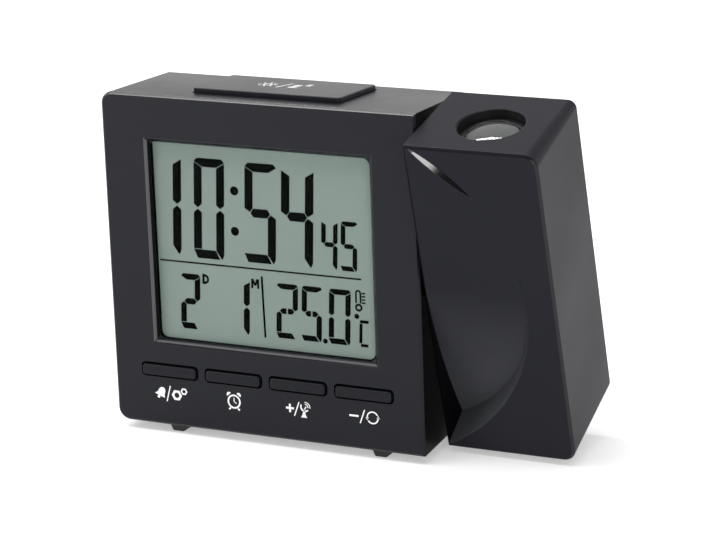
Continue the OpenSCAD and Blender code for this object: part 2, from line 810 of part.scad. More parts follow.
// Snooze bar: a plate whose top is parallel to the housing's top, with a flange under the wall
module snooze_bar() {
    bevel = 0.4;
    flange_w = snooze_w + 2*snooze_flange_lip;
    flange_d = snooze_d + 1.6;
    color(key_colour) clock_frame() {
        difference() {
            translate([mid_x, snooze_y + snooze_d/2, snooze_under - eps]) linear_extrude(body_h)
                round_rect(snooze_w, snooze_d, 1);
            translate([0, 0, body_h + snooze_proud]) rotate([-top_slope, 0, 0])
                translate([-big/2, -big/2, 0]) cube(big);
            translate([0, snooze_y, body_h + snooze_proud - bevel
                - body_draft*snooze_y/body_d]) rotate([45, 0, 0])
                translate([-big/2, -big/2, 0]) cube(big);
        }
        translate([mid_x - flange_w/2, snooze_y - 0.8, snooze_under - snooze_flange_t])
            cube([flange_w, flange_d, snooze_flange_t]);
        translate([mid_x - snooze_stem_w/2, snooze_switch_y - snooze_stem_w/2,
            snooze_switch_top + 0.8 + snooze_travel + face_gap])
            cube([snooze_stem_w, snooze_stem_w,
                snooze_under - snooze_switch_top - 0.8 - snooze_travel - face_gap]);
    }
}

// ---------------------------------------------------------------- hinge

module hinge_bush() {
    color(black_colour) clock_frame() difference() {
        union() {
            rod_x(bush_end, pivot_y, pivot_z, spot_x - bush_end + eps, bush_d);
            rod_x(spot_x, pivot_y, pivot_z, bush_flange_t, bush_flange_d);
        }
        rod_x(bush_end - 1, pivot_y, pivot_z, 20, axle_d + 2*axle_play);
    }
}

// Hollow axle, its flange inside the arm, a groove near its free end for the clip
module hinge_axle() {
    color([0.3, 0.3, 0.32]) arm_frame() difference() {
        union() {
            rod_x(axle_end, pivot_y, pivot_z, arm_inner - axle_end + eps, axle_d);
            rod_x(arm_inner, pivot_y, pivot_z, axle_flange_t, axle_flange_d);
        }
        rod_x(axle_end - 1, pivot_y, pivot_z, arm_inner + axle_flange_t - axle_end + 2,
            axle_bore);
        difference() {
            rod_x(clip_x - 0.05, pivot_y, pivot_z, clip_t + 0.1, axle_d + 2);
            rod_x(clip_x - 1, pivot_y, pivot_z, clip_t + 2, axle_d - 2*clip_groove);
        }
    }
}

// Waved spring washer drawn as the flat ring it is pressed to
module hinge_spring() {
    color(metal_colour) arm_frame() difference() {
        rod_x(bush_end - spring_t, pivot_y, pivot_z, spring_t - 0.05, spring_d);
        rod_x(bush_end - spring_t - 1, pivot_y, pivot_z, spring_t + 2, axle_d + 0.4);
    }
}

// Open retaining ring in the axle's groove
module hinge_clip() {
    color(metal_colour) arm_frame() difference() {
        rod_x(clip_x, pivot_y, pivot_z, clip_t - 0.05, axle_d + 3);
        rod_x(clip_x - 1, pivot_y, pivot_z, clip_t + 2, axle_d - 2*clip_groove + 0.1);
        translate([clip_x - 1, pivot_y - 3, pivot_z]) cube([clip_t + 2, 6, axle_d]);
    }
}

// Cable from the main board, bent once and led through the axle to the arm's board
module hinge_cable() {
    color("dimgray") clock_frame() {
        rod_x(cable_x + cable_bend, pivot_y, pivot_z,
            arm_board_x - 0.3 - cable_x - cable_bend, cable_d);
        translate([cable_x + cable_bend + eps, pivot_y - cable_bend, pivot_z])
            rotate([0, 0, 90]) rotate_extrude(angle = 90) translate([cable_bend, 0])
                circle(d = cable_d);
        rod_y(cable_x + eps, board_back, pivot_z, pivot_y - cable_bend - board_back + eps,
            cable_d);
    }
}

// ---------------------------------------------------------------- projector arm

// Waste of the scoop: a leaning round rim, cut off by the curved floor and by the thin drafted wall
// that stays on the arm's inner side
module scoop_waste() {
    front_over = 2;
    depth = 14;
    difference() {
        intersection() {
            translate([arm_x - scoop_inset, -front_over, scoop_z]) rotate([-90, 0, 0])
                cylinder(h = front_over + depth, r1 = scoop_r + rim_lean*front_over,
                    r2 = scoop_r - rim_lean*depth, $fn = 180);
            translate([arm_x + scoop_wall, 0, floor_top - big])
                rotate([0, 0, -atan(scoop_wall_draft)]) translate([0, -big/2, 0]) cube(big);
        }
        rod_x(arm_x - scoop_r, floor_r - 0.03, floor_top, 2*scoop_r, 2*floor_r, $fn = 180);
    }
}

// Waste of the flute: between the line of the scoop's edge and a rounder line below it, with a
// floor that dips towards the scoop's edge
module flute_waste() {
    start_x = 1;
    half_l = flute_l/2;
    bulge = flute_w - scoop_r + sqrt(pow(scoop_r, 2) - pow(half_l, 2));
    line_r = (pow(half_l, 2) + pow(bulge, 2))/(2*bulge);
    reach = scoop_r - flute_w + line_r;
    turn = acos((scoop_inset + start_x)/scoop_r) - asin(half_l/scoop_r);
    front_over = 1;
    depth = 4;
    intersection() {
        rod_y(arm_x - scoop_inset, -front_over, scoop_z, front_over + depth, 2*scoop_r, $fn = 180);
        translate([arm_x - scoop_inset + reach*cos(turn), -front_over, scoop_z + reach*sin(turn)])
            rotate([-90, 0, 0]) cylinder(h = front_over + depth,
                r1 = line_r + front_over/tan(flute_dip), r2 = line_r - depth/tan(flute_dip),
                $fn = 180);
    }
}

module arm_outside() {
    height = body_h - arm_lift;
    difference() {
        translate([arm_x, 0, arm_lift])
            tapered_box(arm_w, arm_d, height, [0, arm_side_draft, arm_bottom_draft,
                arm_top_draft], edge_bevel);
        corner_waste([span_x, body_h], [span_x - arm_side_draft, body_h - arm_top_draft],
            arm_d, arm_corner_r, arm_corner_back_r, edge_bevel, 1, 1);
        corner_waste([span_x, arm_lift], [span_x - arm_side_draft, arm_lift + arm_bottom_draft],
            arm_d, arm_corner_r, arm_corner_back_r, edge_bevel, 1, -1);
        scoop_waste();
        flute_waste();
    }
}

// Boss for a screw of the arm's back, held by a web to the nearest side wall
module arm_boss_post(x, z, start_y) {
    wall_x = x < lens_x ? arm_inner - 1 : arm_cavity_right + 1;
    rod_y(x, start_y, z, arm_back_y - start_y, arm_boss_d);
    translate([min(x, wall_x), start_y, z - arm_web/2])
        cube([abs(x - wall_x), arm_back_y - start_y - arm_web, arm_web]);
}

module arm_shell() {
    inner_w = arm_cavity_right - arm_inner;
    color(case_colour) arm_frame() difference() {
        union() {
            difference() {
                arm_outside();
                translate([arm_inner, arm_front_y, arm_step_z])
                    cube([inner_w, arm_d, arm_cavity_top - arm_step_z]);
                translate([arm_inner, arm_step_y, arm_cavity_low])
                    cube([inner_w, arm_d, arm_step_z - arm_cavity_low + eps]);
                translate([arm_x + arm_back_in, arm_back_y,
                    arm_lift + arm_bottom_draft + arm_back_in])
                    cube([arm_w - arm_side_draft - 2*arm_back_in, arm_d,
                        body_h - arm_lift - arm_bottom_draft - arm_top_draft - 2*arm_back_in]);
            }
            for (p = arm_boss) arm_boss_post(p[0], p[1], p[2]);
            translate([lens_x - tube_w/2, arm_front_y - 1, tube_low - board_t - 2])
                cube([tube_w, 8, 2]);
        }
        rod_x(arm_x - 1, pivot_y, pivot_z, arm_wall + 2, axle_d + 2*screw_gap);
        translate([lens_x, lens_y, arm_cavity_top - 5]) cylinder(h = 20, d = lens_bore_d);
        translate([lens_x, lens_y, arm_top_at_lens - 0.6])
            cylinder(h = 2, d1 = lens_bore_d - 0.4, d2 = lens_bore_d + 3.6);
        for (p = arm_boss)
            rod_y(p[0], arm_d - cover_head_t - arm_screw_l, p[1], arm_screw_l,
                cover_screw_d + 2*screw_gap);
    }
}

module arm_back() {
    plate_w = arm_w - arm_side_draft - 2*arm_back_in - 2*seat_gap;
    plate_h = body_h - arm_lift - arm_bottom_draft - arm_top_draft - 2*arm_back_in - 2*seat_gap;
    color(case_colour) arm_frame() difference() {
        translate([arm_x + arm_back_in + seat_gap, arm_back_y,
            arm_lift + arm_bottom_draft + arm_back_in + seat_gap])
            cube([plate_w, arm_back_t, plate_h]);
        for (p = arm_boss) {
            rod_y(p[0], arm_back_y - 1, p[1], 5, cover_screw_d + 0.6);
            rod_y(p[0], arm_d - cover_head_t + 0.2, p[1], 5, cover_head_d + 0.5);
        }
    }
}

module arm_screws() {
    color(metal_colour) arm_frame() for (p = arm_boss) difference() {
        union() {
            rod_y(p[0], arm_d - cover_head_t - arm_screw_l + 0.2, p[1], arm_screw_l,
                cover_screw_d);
            rod_y(p[0], arm_d - cover_head_t + 0.2, p[1], cover_head_t - 0.4, cover_head_d);
        }
        for (a = [0, 90])
            translate([p[0], arm_d, p[1]]) rotate([0, a, 0]) cube([2.6, 1.8, 0.7], center = true);
    }
}

// ---------------------------------------------------------------- projector

// Barrel: a collar under the arm's top, a seat for the lens and a bore down to the image
module lens_barrel() {
    color(black_colour) arm_frame() difference() {
        union() {
            translate([lens_x, lens_y, barrel_low])
                cylinder(h = lens_rim_z - 0.4 - barrel_low, d = barrel_d);
            translate([lens_x, lens_y, arm_cavity_top - collar_t])
                cylinder(h = collar_t, d = barrel_d + 1);
        }
        translate([lens_x, lens_y, barrel_low - 1]) cylinder(h = body_h, d = barrel_bore);
        translate([lens_x, lens_y, lens_rim_z - lens_t])
            cylinder(h = 10, d = lens_d + 2*screw_gap);
    }
}

// Plano-convex lens: a drum with a dome that is part of a sphere
module projection_lens() {
    dome_r = (pow(lens_d/2, 2) + pow(lens_dome, 2))/(2*lens_dome);
    color([0.8, 0.82, 0.84]) arm_frame() translate([lens_x, lens_y, lens_rim_z - lens_t])
        intersection() {
            cylinder(h = lens_t + lens_dome + 1, d = lens_d);
            translate([0, 0, lens_t + lens_dome - dome_r]) sphere(dome_r, $fn = 128);
        }
}

module image_lcd() {
    color([0.5, 0.58, 0.6]) arm_frame()
        translate([lens_x - image_w/2, lens_y - image_w/2, barrel_low - image_t])
            cube([image_w, image_w, image_t]);
}

module lamp_tube() {
    color([0.85, 0.85, 0.85]) arm_frame() difference() {
        translate([lens_x - tube_w/2, lens_y - tube_w/2, tube_low])
            cube([tube_w, tube_w, tube_h]);
        translate([lens_x, lens_y, tube_low - 1]) cylinder(h = tube_h + 2, d = tube_w - 4);
    }
}

module lamp_board() {
    color(board_colour) arm_frame()
        translate([arm_board_x + board_t, lens_y - tube_w/2, tube_low - board_t])
            cube([lens_x + tube_w/2 - arm_board_x - board_t, tube_w, board_t]);
}

module lamp_led() {
    color("ivory") arm_frame() translate([lens_x, lens_y, tube_low]) {
        cylinder(h = 1, d = led_d + 0.8);
        cylinder(h = 5, d = led_d);
        translate([0, 0, 5]) sphere(led_d/2);
    }
}

module arm_board() {
    color(board_colour) arm_frame()
        translate([arm_board_x, arm_front_y + seat_gap, arm_step_z + seat_gap])
            cube([board_t, arm_back_y - arm_front_y - 2*seat_gap, arm_board_h]);
}

housing();
back_cover();
battery_door();
battery_upper();
battery_lower();
battery_springs();
battery_plates();
lcd_window();
lcd_panel();
light_guide();
lcd_frame();
zebra_strip();
main_board();
clock_chip();
board_screws();
key_switches();
snooze_switch();
buzzer();
dc_inlet();
cover_screws();
feet();
hinge_bush();
hinge_cable();
bell_key();
alarm_key();
plus_key();
minus_key();
snooze_bar();
arm_shell();
arm_back();
arm_screws();
hinge_axle();
hinge_spring();
hinge_clip();
lens_barrel();
projection_lens();
image_lcd();
lamp_tube();
lamp_board();
lamp_led();
arm_board();
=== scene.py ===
# %% [markdown]
# # A projection alarm clock
# The clock is a black moulded case with a large liquid crystal display, and beside it stands a
# projector arm that tilts on a hollow axle. The measured model gives each part its place and its
# motion. Here the parts that show get soft edges, printed marks, display segments and finishes.
# Sizes are in millimetres from the case's lower left front corner, and MM turns them to metres.

# %% Load the measured clock
import bpy
from math import acos, asin, cos, degrees, hypot, pi, radians, sin, sqrt, tan
from mathutils import Matrix, Vector


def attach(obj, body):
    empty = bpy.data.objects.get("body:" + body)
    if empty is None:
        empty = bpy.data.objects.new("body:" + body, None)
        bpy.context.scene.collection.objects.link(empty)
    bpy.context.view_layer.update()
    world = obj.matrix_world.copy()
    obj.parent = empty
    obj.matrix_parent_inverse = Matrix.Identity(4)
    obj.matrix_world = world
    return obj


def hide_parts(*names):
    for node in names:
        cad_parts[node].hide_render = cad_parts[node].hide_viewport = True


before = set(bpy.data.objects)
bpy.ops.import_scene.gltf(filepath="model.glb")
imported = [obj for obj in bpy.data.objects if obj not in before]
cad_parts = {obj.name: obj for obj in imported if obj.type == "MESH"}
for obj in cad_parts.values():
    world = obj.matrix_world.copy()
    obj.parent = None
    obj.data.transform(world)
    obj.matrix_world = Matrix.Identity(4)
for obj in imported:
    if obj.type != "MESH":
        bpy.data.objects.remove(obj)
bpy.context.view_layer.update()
MM = 0.001
CORNER = Vector((-63.5, -16.017, 2.2)) * MM
print("case corner in mm:", [round(c / MM, 3) for c in CORNER])

# %% [markdown]
# ## Tools for working by hand
# Each new part starts as a primitive and is shaped in edit mode, as at the screen. An operator
# acts on all that is selected, so these helpers put everything down first, pick up one part, and
# choose its faces or edges by where they lie and which way they point.

# %% Pick up, choose and put down
def rest():
    """Leave edit mode and deselect everything."""
    if bpy.context.mode != "OBJECT":
        bpy.ops.object.mode_set(mode="OBJECT")
    bpy.ops.object.select_all(action="DESELECT")


def hold(*pieces):
    """Select these pieces, the first one active."""
    rest()
    for piece in pieces:
        piece.select_set(True)
    bpy.context.view_layer.objects.active = pieces[0]


def choose(kind, wanted):
    """Select the active piece's VERT, EDGE or FACE items by middle (mm) and direction."""
    bpy.ops.mesh.select_mode(type=kind)
    bpy.ops.mesh.select_all(action="DESELECT")
    bpy.ops.object.mode_set(mode="OBJECT")
    mesh = bpy.context.object.data
    if kind == "VERT":
        for v in mesh.vertices:
            v.select = wanted(v.co / MM, v.normal)
    elif kind == "EDGE":
        for e in mesh.edges:
            a, b = (mesh.vertices[i].co / MM for i in e.vertices)
            e.select = wanted((a + b) / 2, (b - a).normalized())
    else:
        for f in mesh.polygons:
            f.select = wanted(f.center / MM, f.normal)
    bpy.ops.object.mode_set(mode="EDIT")


# %% Small steps by hand
def edit(piece):
    """Pick up one piece and enter edit mode."""
    hold(piece)
    bpy.ops.object.mode_set(mode="EDIT")


def nudge(x=0, z=0):
    """Move what is selected by these millimetres."""
    bpy.ops.transform.translate(value=(x * MM, 0, z * MM))


def face_outwards():
    """Turn every face of the edited piece to the outside, and leave edit mode."""
    bpy.ops.mesh.select_all(action="SELECT")
    bpy.ops.mesh.normals_make_consistent(inside=False)
    rest()


def bake_place():
    """Put the object's place, turn and size into its mesh."""
    bpy.ops.object.transform_apply(location=True, rotation=True, scale=True)


# %% New objects and copies
def in_scene(name, data):
    """A new object that carries this data, linked to the scene."""
    thing = bpy.data.objects.new(name, data)
    bpy.context.scene.collection.objects.link(thing)
    return thing


def twin(piece):
    """A copy of a piece, with a mesh of its own."""
    copy = piece.copy()
    copy.data = piece.data.copy()
    bpy.context.scene.collection.objects.link(copy)
    return copy


# %% Starting shapes
def block(x0, x1, y0, y1, z0, z1):
    """A cube stretched between two corners."""
    rest()
    middle = Vector((x0 + x1, y0 + y1, z0 + z1)) / 2 * MM
    bpy.ops.mesh.primitive_cube_add(size=1, location=middle)
    piece = bpy.context.object
    piece.scale = Vector((x1 - x0, y1 - y0, z1 - z0)) * MM
    bake_place()
    return piece


def rod(axis, x, y, z, length, d0, d1=None, sides=96):
    """A cylinder or cone that starts at x, y, z and runs along +X, +Y or +Z."""
    rest()
    turn = {"X": (0, pi / 2, 0), "Y": (-pi / 2, 0, 0), "Z": (0, 0, 0)}[axis]
    way = {"X": Vector((1, 0, 0)), "Y": Vector((0, 1, 0)), "Z": Vector((0, 0, 1))}[axis]
    middle = (Vector((x, y, z)) + way * length / 2) * MM
    bpy.ops.mesh.primitive_cone_add(vertices=sides, radius1=d0 / 2 * MM,
        radius2=(d0 if d1 is None else d1) / 2 * MM, depth=length * MM,
        location=middle, rotation=turn)
    bake_place()
    return bpy.context.object


def outline(y, x0, x1, z0, z1, radii=(0, 0, 0, 0), steps=10):
    """A flat rounded rectangle that faces the front. radii: lower left, upper left, lower right,
    upper right."""
    rest()
    middle = Vector(((x0 + x1) / 2, y, (z0 + z1) / 2)) * MM
    bpy.ops.mesh.primitive_plane_add(size=1, location=middle, rotation=(pi / 2, 0, 0))
    piece = bpy.context.object
    piece.scale = Vector((x1 - x0, z1 - z0, 1)) * MM
    bake_place()
    edit(piece)
    corners = [(x0, z0), (x0, z1), (x1, z0), (x1, z1)]
    for (cx, cz), radius in zip(corners, radii):
        if radius > 0:
            choose("VERT", lambda p, n: abs(p.x - cx) < 0.01 and abs(p.z - cz) < 0.01)
            bpy.ops.mesh.bevel(offset=radius * MM, segments=steps, affect="VERTICES")
    rest()
    return piece


def pad(x0, x1, z0, z1, y0, y1, radius, steps=8):
    """A rounded rectangle pushed back from y0 to y1."""
    piece = outline(y0, x0, x1, z0, z1, (radius,) * 4, steps)
    edit(piece)
    bpy.ops.mesh.select_all(action="SELECT")
    bpy.ops.mesh.extrude_region_move(TRANSFORM_OT_translate={"value": (0, (y1 - y0) * MM, 0)})
    face_outwards()
    return piece


# %% Joining and cutting
def loft(*rings):
    """Join flat outlines into one closed body, each bridged to the next."""
    depths = [ring.data.vertices[0].co.y / MM for ring in rings]
    hold(*rings)
    bpy.ops.object.join()
    piece = bpy.context.object
    edit(piece)
    if len(depths) > 2:
        choose("FACE", lambda p, n: min(depths) + 0.001 < p.y < max(depths) - 0.001)
        bpy.ops.mesh.delete(type="ONLY_FACE")
    for near, far in zip(depths, depths[1:]):
        choose("EDGE", lambda p, way: abs(way.y) < 0.001
            and (abs(p.y - near) < 0.001 or abs(p.y - far) < 0.001))
        bpy.ops.mesh.bridge_edge_loops()
    face_outwards()
    return piece


def carve(piece, *tools, how="DIFFERENCE"):
    """Cut the tools out of a piece, or add them to it, and apply each cut."""
    for tool in tools:
        hold(piece)
        bpy.ops.object.modifier_add(type="BOOLEAN")
        cut = piece.modifiers[-1]
        cut.operation = how
        cut.solver = "EXACT"
        cut.object = tool
        bpy.ops.object.modifier_apply(modifier=cut.name)
        bpy.data.objects.remove(tool)


def add_up(*pieces):
    """Join pieces into one object without merging them."""
    hold(*pieces)
    bpy.ops.object.join()
    return bpy.context.object


# %% Soft edges
SHARP = radians(30)  # edges with a larger angle than this are rounded


def soften(piece, width, steps=2):
    """Round every edge a little, as a mould leaves it, and shade it smooth."""
    edit(piece)
    bpy.ops.mesh.select_all(action="SELECT")
    bpy.ops.mesh.remove_doubles(threshold=0.004 * MM)
    bpy.ops.mesh.dissolve_limited(angle_limit=radians(0.3))
    hold(piece)
    bpy.ops.object.modifier_add(type="BEVEL")
    bevel = piece.modifiers[-1]
    bevel.width = width * MM
    bevel.segments = steps
    bevel.limit_method = "ANGLE"
    bevel.angle_limit = SHARP
    bevel.use_clamp_overlap = False
    bpy.ops.object.modifier_apply(modifier=bevel.name)
    bpy.ops.object.shade_smooth_by_angle(angle=SHARP)
    bpy.ops.object.modifier_add(type="WEIGHTED_NORMAL")
    piece.modifiers[-1].keep_sharp = True
    bpy.ops.object.modifier_apply(modifier=piece.modifiers[-1].name)
    return piece


# %% Put a piece where the measured clock has it
HINGE_Y, HINGE_Z = 16.5, 47
LEAN_ANGLE = 15
HINGE = Vector((0, HINGE_Y, HINGE_Z)) * MM
LEAN = (Matrix.Translation(HINGE) @ Matrix.Rotation(radians(LEAN_ANGLE), 4, "X")
    @ Matrix.Translation(-HINGE))
TO_DESK = Matrix.Translation(CORNER)


def dress(piece, name, body, nodes, surface):
    """Name a placed piece, give it its finish, tie it to its body and hide the measured parts it
    replaces.
    """
    piece.name = name
    piece.data.name = name
    piece.data.materials.clear()
    piece.data.materials.append(surface)
    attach(piece, body)
    if nodes:
        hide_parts(*nodes)
    print(name, "faces:", len(piece.data.polygons))


def settle(piece, name, body, *nodes, slot, surface, leaning=False):
    """Move a piece into the shared frame, bake its place and dress it."""
    hold(piece)
    piece.matrix_world = TO_DESK @ (LEAN if leaning else Matrix.Identity(4))
    bake_place()
    dress(piece, name, body, nodes, surface)


# %% [markdown]
# A moulding is not one even surface. Where the steel of the mould was polished, an edge or a
# hollow shines more than the face beside it. Some areas get painted light or painted shade
# instead: the foot of the scoop paler, the walls in the gaps darker. Such an area gets a second
# finish, and its faces are found by their place and direction, as when they are picked by hand.

# %% Give some faces of a placed piece a second finish
def polish(piece, surface, wanted, leaning=False):
    """wanted takes a face's middle (mm) and direction as they were before it was placed."""
    back = (TO_DESK @ (LEAN if leaning else Matrix.Identity(4))).inverted()
    edit(piece)
    choose("FACE", lambda p, n: wanted((back @ (p * MM)) / MM, back.to_3x3() @ n))
    piece.data.materials.append(surface)
    last = len(piece.data.materials) - 1
    piece.active_material_index = last
    bpy.ops.object.material_slot_assign()
    rest()
    print(surface.name, "faces:", sum(f.material_index == last for f in piece.data.polygons))


# %% [markdown]
# ## Finishes
# Moulded plastic is never quite even. The mould is spark-eroded, which leaves a fine grain that
# breaks up reflections, the gloss drifts slowly over a large face, and hands polish some areas.
# Grain and drift are needed on most parts, so one node group gives both and is built once. It gives
# only heights and masks, and the shader itself stays in each material with its own numbers.

# %% Group: moulded grain
def new_group(name, inputs, outputs):
    """An empty node group whose sockets are all plain numbers."""
    group = bpy.data.node_groups.new(name, "ShaderNodeTree")
    for label, value in inputs:
        socket = group.interface.new_socket(label, in_out="INPUT", socket_type="NodeSocketFloat")
        socket.default_value = value
    for label in outputs:
        group.interface.new_socket(label, in_out="OUTPUT", socket_type="NodeSocketFloat")
    return group


def add_node(tree, kind, **settings):
    """A new node with some of its settings made."""
    node = tree.nodes.new(kind)
    for key, value in settings.items():
        setattr(node, key, value)
    return node


moulded_grain = new_group("moulded_grain", [("Grain Size", 0.25), ("Drift Size", 30)],
    ["Grain", "Drift"])
tree = moulded_grain
inside = add_node(tree, "NodeGroupInput")
outside = add_node(tree, "NodeGroupOutput")
place = add_node(tree, "ShaderNodeTexCoord")
for label, detail, out in (("Grain Size", 2, "Grain"), ("Drift Size", 3, "Drift")):
    per_metre = add_node(tree, "ShaderNodeMath", operation="DIVIDE")
    per_metre.inputs[0].default_value = 1 / MM
    tree.links.new(inside.outputs[label], per_metre.inputs[1])
    noise = add_node(tree, "ShaderNodeTexNoise")
    noise.inputs["Detail"].default_value = detail
    tree.links.new(place.outputs["Object"], noise.inputs["Vector"])
    tree.links.new(per_metre.outputs[0], noise.inputs["Scale"])
    tree.links.new(noise.outputs["Fac"], outside.inputs[out])
print("moulded_grain has", len(tree.nodes), "nodes")

# %% Masks, colours and coordinates
def ramp(tree, source, low, high, from_low=0.3, from_high=0.7):
    """Map a mask onto a range of values."""
    spread = add_node(tree, "ShaderNodeMapRange")
    spread.inputs["From Min"].default_value = from_low
    spread.inputs["From Max"].default_value = from_high
    spread.inputs["To Min"].default_value = low
    spread.inputs["To Max"].default_value = high
    tree.links.new(source, spread.inputs["Value"])
    return spread.outputs["Result"]


def blend(tree, factor, dark, light):
    """A colour between two, by a mask. dark and light are colours or sockets."""
    mix = add_node(tree, "ShaderNodeMix", data_type="RGBA")
    tree.links.new(factor, mix.inputs["Factor"])
    for socket, value in ((mix.inputs[6], dark), (mix.inputs[7], light)):
        if isinstance(value, bpy.types.NodeSocket):
            tree.links.new(value, socket)
        else:
            socket.default_value = (*value, 1)
    return mix.outputs[2]


def maths(tree, how, first, second):
    """One number from two sockets."""
    node = add_node(tree, "ShaderNodeMath", operation=how)
    tree.links.new(first, node.inputs[0])
    tree.links.new(second, node.inputs[1])
    return node.outputs[0]


def coordinates(tree, kind="Object"):
    """The X, Y and Z of the point that is shaded."""
    place = add_node(tree, "ShaderNodeTexCoord")
    split = add_node(tree, "ShaderNodeSeparateXYZ")
    tree.links.new(place.outputs[kind], split.inputs["Vector"])
    return split.outputs


# %% A maker for grained finishes
def finish(name, dark, light, rough, grain=0.25, drift=30, bump=0.1, metal=0.0, ior=1.45,
           specular=0.5, sheen=0.0):
    """A grained material: two close colours, a range of roughness and a fine bump."""
    material = bpy.data.materials.new(name)
    material.use_nodes = True
    tree = material.node_tree
    shader = tree.nodes["Principled BSDF"]
    shader.inputs["Metallic"].default_value = metal
    shader.inputs["IOR"].default_value = ior
    shader.inputs["Specular IOR Level"].default_value = specular
    shader.inputs["Sheen Weight"].default_value = sheen
    shader.inputs["Sheen Roughness"].default_value = 0.4
    mould = add_node(tree, "ShaderNodeGroup", node_tree=moulded_grain)
    mould.inputs["Grain Size"].default_value = grain
    mould.inputs["Drift Size"].default_value = drift
    tree.links.new(blend(tree, mould.outputs["Drift"], dark, light), shader.inputs["Base Color"])
    tree.links.new(ramp(tree, mould.outputs["Drift"], *rough), shader.inputs["Roughness"])
    relief = add_node(tree, "ShaderNodeBump")
    relief.inputs["Strength"].default_value = bump
    relief.inputs["Distance"].default_value = 0.02 * MM
    tree.links.new(mould.outputs["Grain"], relief.inputs["Height"])
    tree.links.new(relief.outputs["Normal"], shader.inputs["Normal"])
    return material


# %% Plastics and rubber
case_black = finish("case_black", (0.0058, 0.0062, 0.0094), (0.0076, 0.008, 0.012), (0.3, 0.38),
    grain=0.22, bump=0.12, ior=1.28)
key_black = finish("key_black", (0.005, 0.0054, 0.0082), (0.0067, 0.007, 0.0105), (0.26, 0.34),
    grain=0.3, bump=0.08, ior=1.26)
arm_black = finish("arm_black", (0.0118, 0.0122, 0.0162), (0.0148, 0.0152, 0.02), (0.32, 0.4),
    grain=0.22, bump=0.12, ior=1.155, sheen=0.015)
edge_black = finish("edge_black", (0.006, 0.0062, 0.009), (0.008, 0.0082, 0.0115), (0.14, 0.2),
    grain=0.22, bump=0.04, ior=1.75)
edge_satin = finish("edge_satin", (0.006, 0.0062, 0.009), (0.008, 0.0082, 0.0115), (0.16, 0.22),
    grain=0.22, bump=0.04, ior=1.36)
# painted shade: a darker, duller finish for faces in the gaps between parts and in the display lip
shaded_black = finish("shaded_black", (0.0015, 0.0015, 0.0022), (0.0025, 0.0025, 0.0035),
    (0.34, 0.42), grain=0.22, bump=0.12, ior=1.15)
polished_black = finish("polished_black", (0.001, 0.001, 0.0015), (0.002, 0.002, 0.003),
    (0.05, 0.1), drift=8, bump=0.0, ior=1.75)
barrel_black = finish("barrel_black", (0.004, 0.004, 0.005), (0.007, 0.007, 0.008), (0.3, 0.4),
    grain=0.4, bump=0.1)
rubber = finish("foot_rubber", (0.012, 0.012, 0.013), (0.02, 0.02, 0.021), (0.6, 0.75),
    grain=0.35, bump=0.4)
print("plastics:", [m.name for m in (case_black, key_black, arm_black, barrel_black, rubber)])

# %% [markdown]
# Light is painted into the lower end of the scoop, which lies in shade. The finish is the arm's
# own, blended towards a paler grey over a stretch of height, palest at the foot.

# %% Painted light in the lower scoop
scoop_black = arm_black.copy()
scoop_black.name = "scoop_black"
tree = scoop_black.node_tree
shader = tree.nodes["Principled BSDF"]
# painted light: the base colour turns paler towards the foot of the scoop, where shade falls
painted_light_mask = ramp(tree, coordinates(tree)["Z"], 1, 0, 12 * MM, 48 * MM)
plain = shader.inputs["Base Color"].links[0].from_socket
tree.links.new(blend(tree, painted_light_mask, plain, (0.05, 0.051, 0.057)), shader.inputs["Base Color"])
print("scoop finish nodes:", len(tree.nodes))

# %% [markdown]
# ## The case
# The case is one moulding. Its front is a rounded rectangle and its sides lean in towards the
# back, where the left corners get tighter. A cube with bevelled edges would keep one radius, so
# three outlines are drawn at their depths and bridged: the face inside the bevel, the widest
# line just behind it, and the back.

# %% Case: outer form
case = loft(
    outline(0, 0.7, 89.8, 0.7, 89.3, (2.7, 2.7, 0, 0), 12),
    outline(0.7, 0.03, 90.47, 0.03, 89.97, (3.4, 3.4, 0, 0), 12),
    outline(33, 1.5, 89, 1.5, 88.5, (0.8, 0.8, 0, 0), 12))
print("case outer form:", len(case.data.polygons), "faces")

# %% [markdown]
# The openings come next. The display opening starts with a lip that rolls in from the face: four
# square outlines, lofted into one tool, give it a shallow, a steep and a steeper ring. A hole
# with round corners follows behind it. The keys have rounded slots, and the snooze bar has a
# slot in the top. Inside, the case is hollow for the boards and the batteries, and its right wall
# has the seat of the hinge bush. The top edge and the lip are smooth and catch the light. The
# lip's innermost left ring and the wall beside the arm get painted shade: a darker, duller finish.

# %% Case: openings
LEFT, RIGHT, LOW, HIGH = 13.55, 76.95, 23.9, 77.3
LIP = [(-0.02, 1.467), (0.03, 1.05), (0.588, 0.43), (1.3, 0)]  # depth, and reach past the hole
carve(case,
    loft(*(outline(y, LEFT - r, RIGHT + r, LOW - r, HIGH + r) for y, r in LIP)),
    pad(LEFT, RIGHT, LOW, HIGH, 1.2, 4, 1.6),
    pad(11.45, 79.05, 21.8, 79.4, 1.6, 4, 1.6),
    block(3.6, 86.9, 2.4, 34, 3.6, 86.4),
    block(2.55, 87.95, 30.8, 34, 2.55, 87.45))
KEY_PITCH = 19
KEY_X = [16.75 + KEY_PITCH * i for i in range(4)]
for x in KEY_X:
    carve(case, pad(x - 8.5, x + 8.5, 13.3, 17.2, -1, 5, 1.2))
snooze_slot = block(23.7, 66.8, 6.25, 28.85, 84, 92)
edit(snooze_slot)
choose("EDGE", lambda p, way: abs(way.z) > 0.9)
bpy.ops.mesh.bevel(offset=1.35 * MM, segments=6, affect="EDGES")
carve(case, snooze_slot, rod("X", 88.8, HINGE_Y, HINGE_Z, 4, 17.76),
    rod("X", 80, HINGE_Y, HINGE_Z, 12, 13.46))
FOOT_X, FOOT_Y = (17.1, 76.9), (2.3, 23.8)
for x in FOOT_X:
    for y in FOOT_Y:
        carve(case, block(x - 2.7, x + 2.7, y - 0.1, y + 5.1, -1, 2))
soften(case, 0.14)
settle(case, "case_shell", "clock", "housing", slot="case_plastic", surface=case_black)
lit_edge = lambda q, n: q.y < 1.35 and 0.2 < -n.y < 0.97
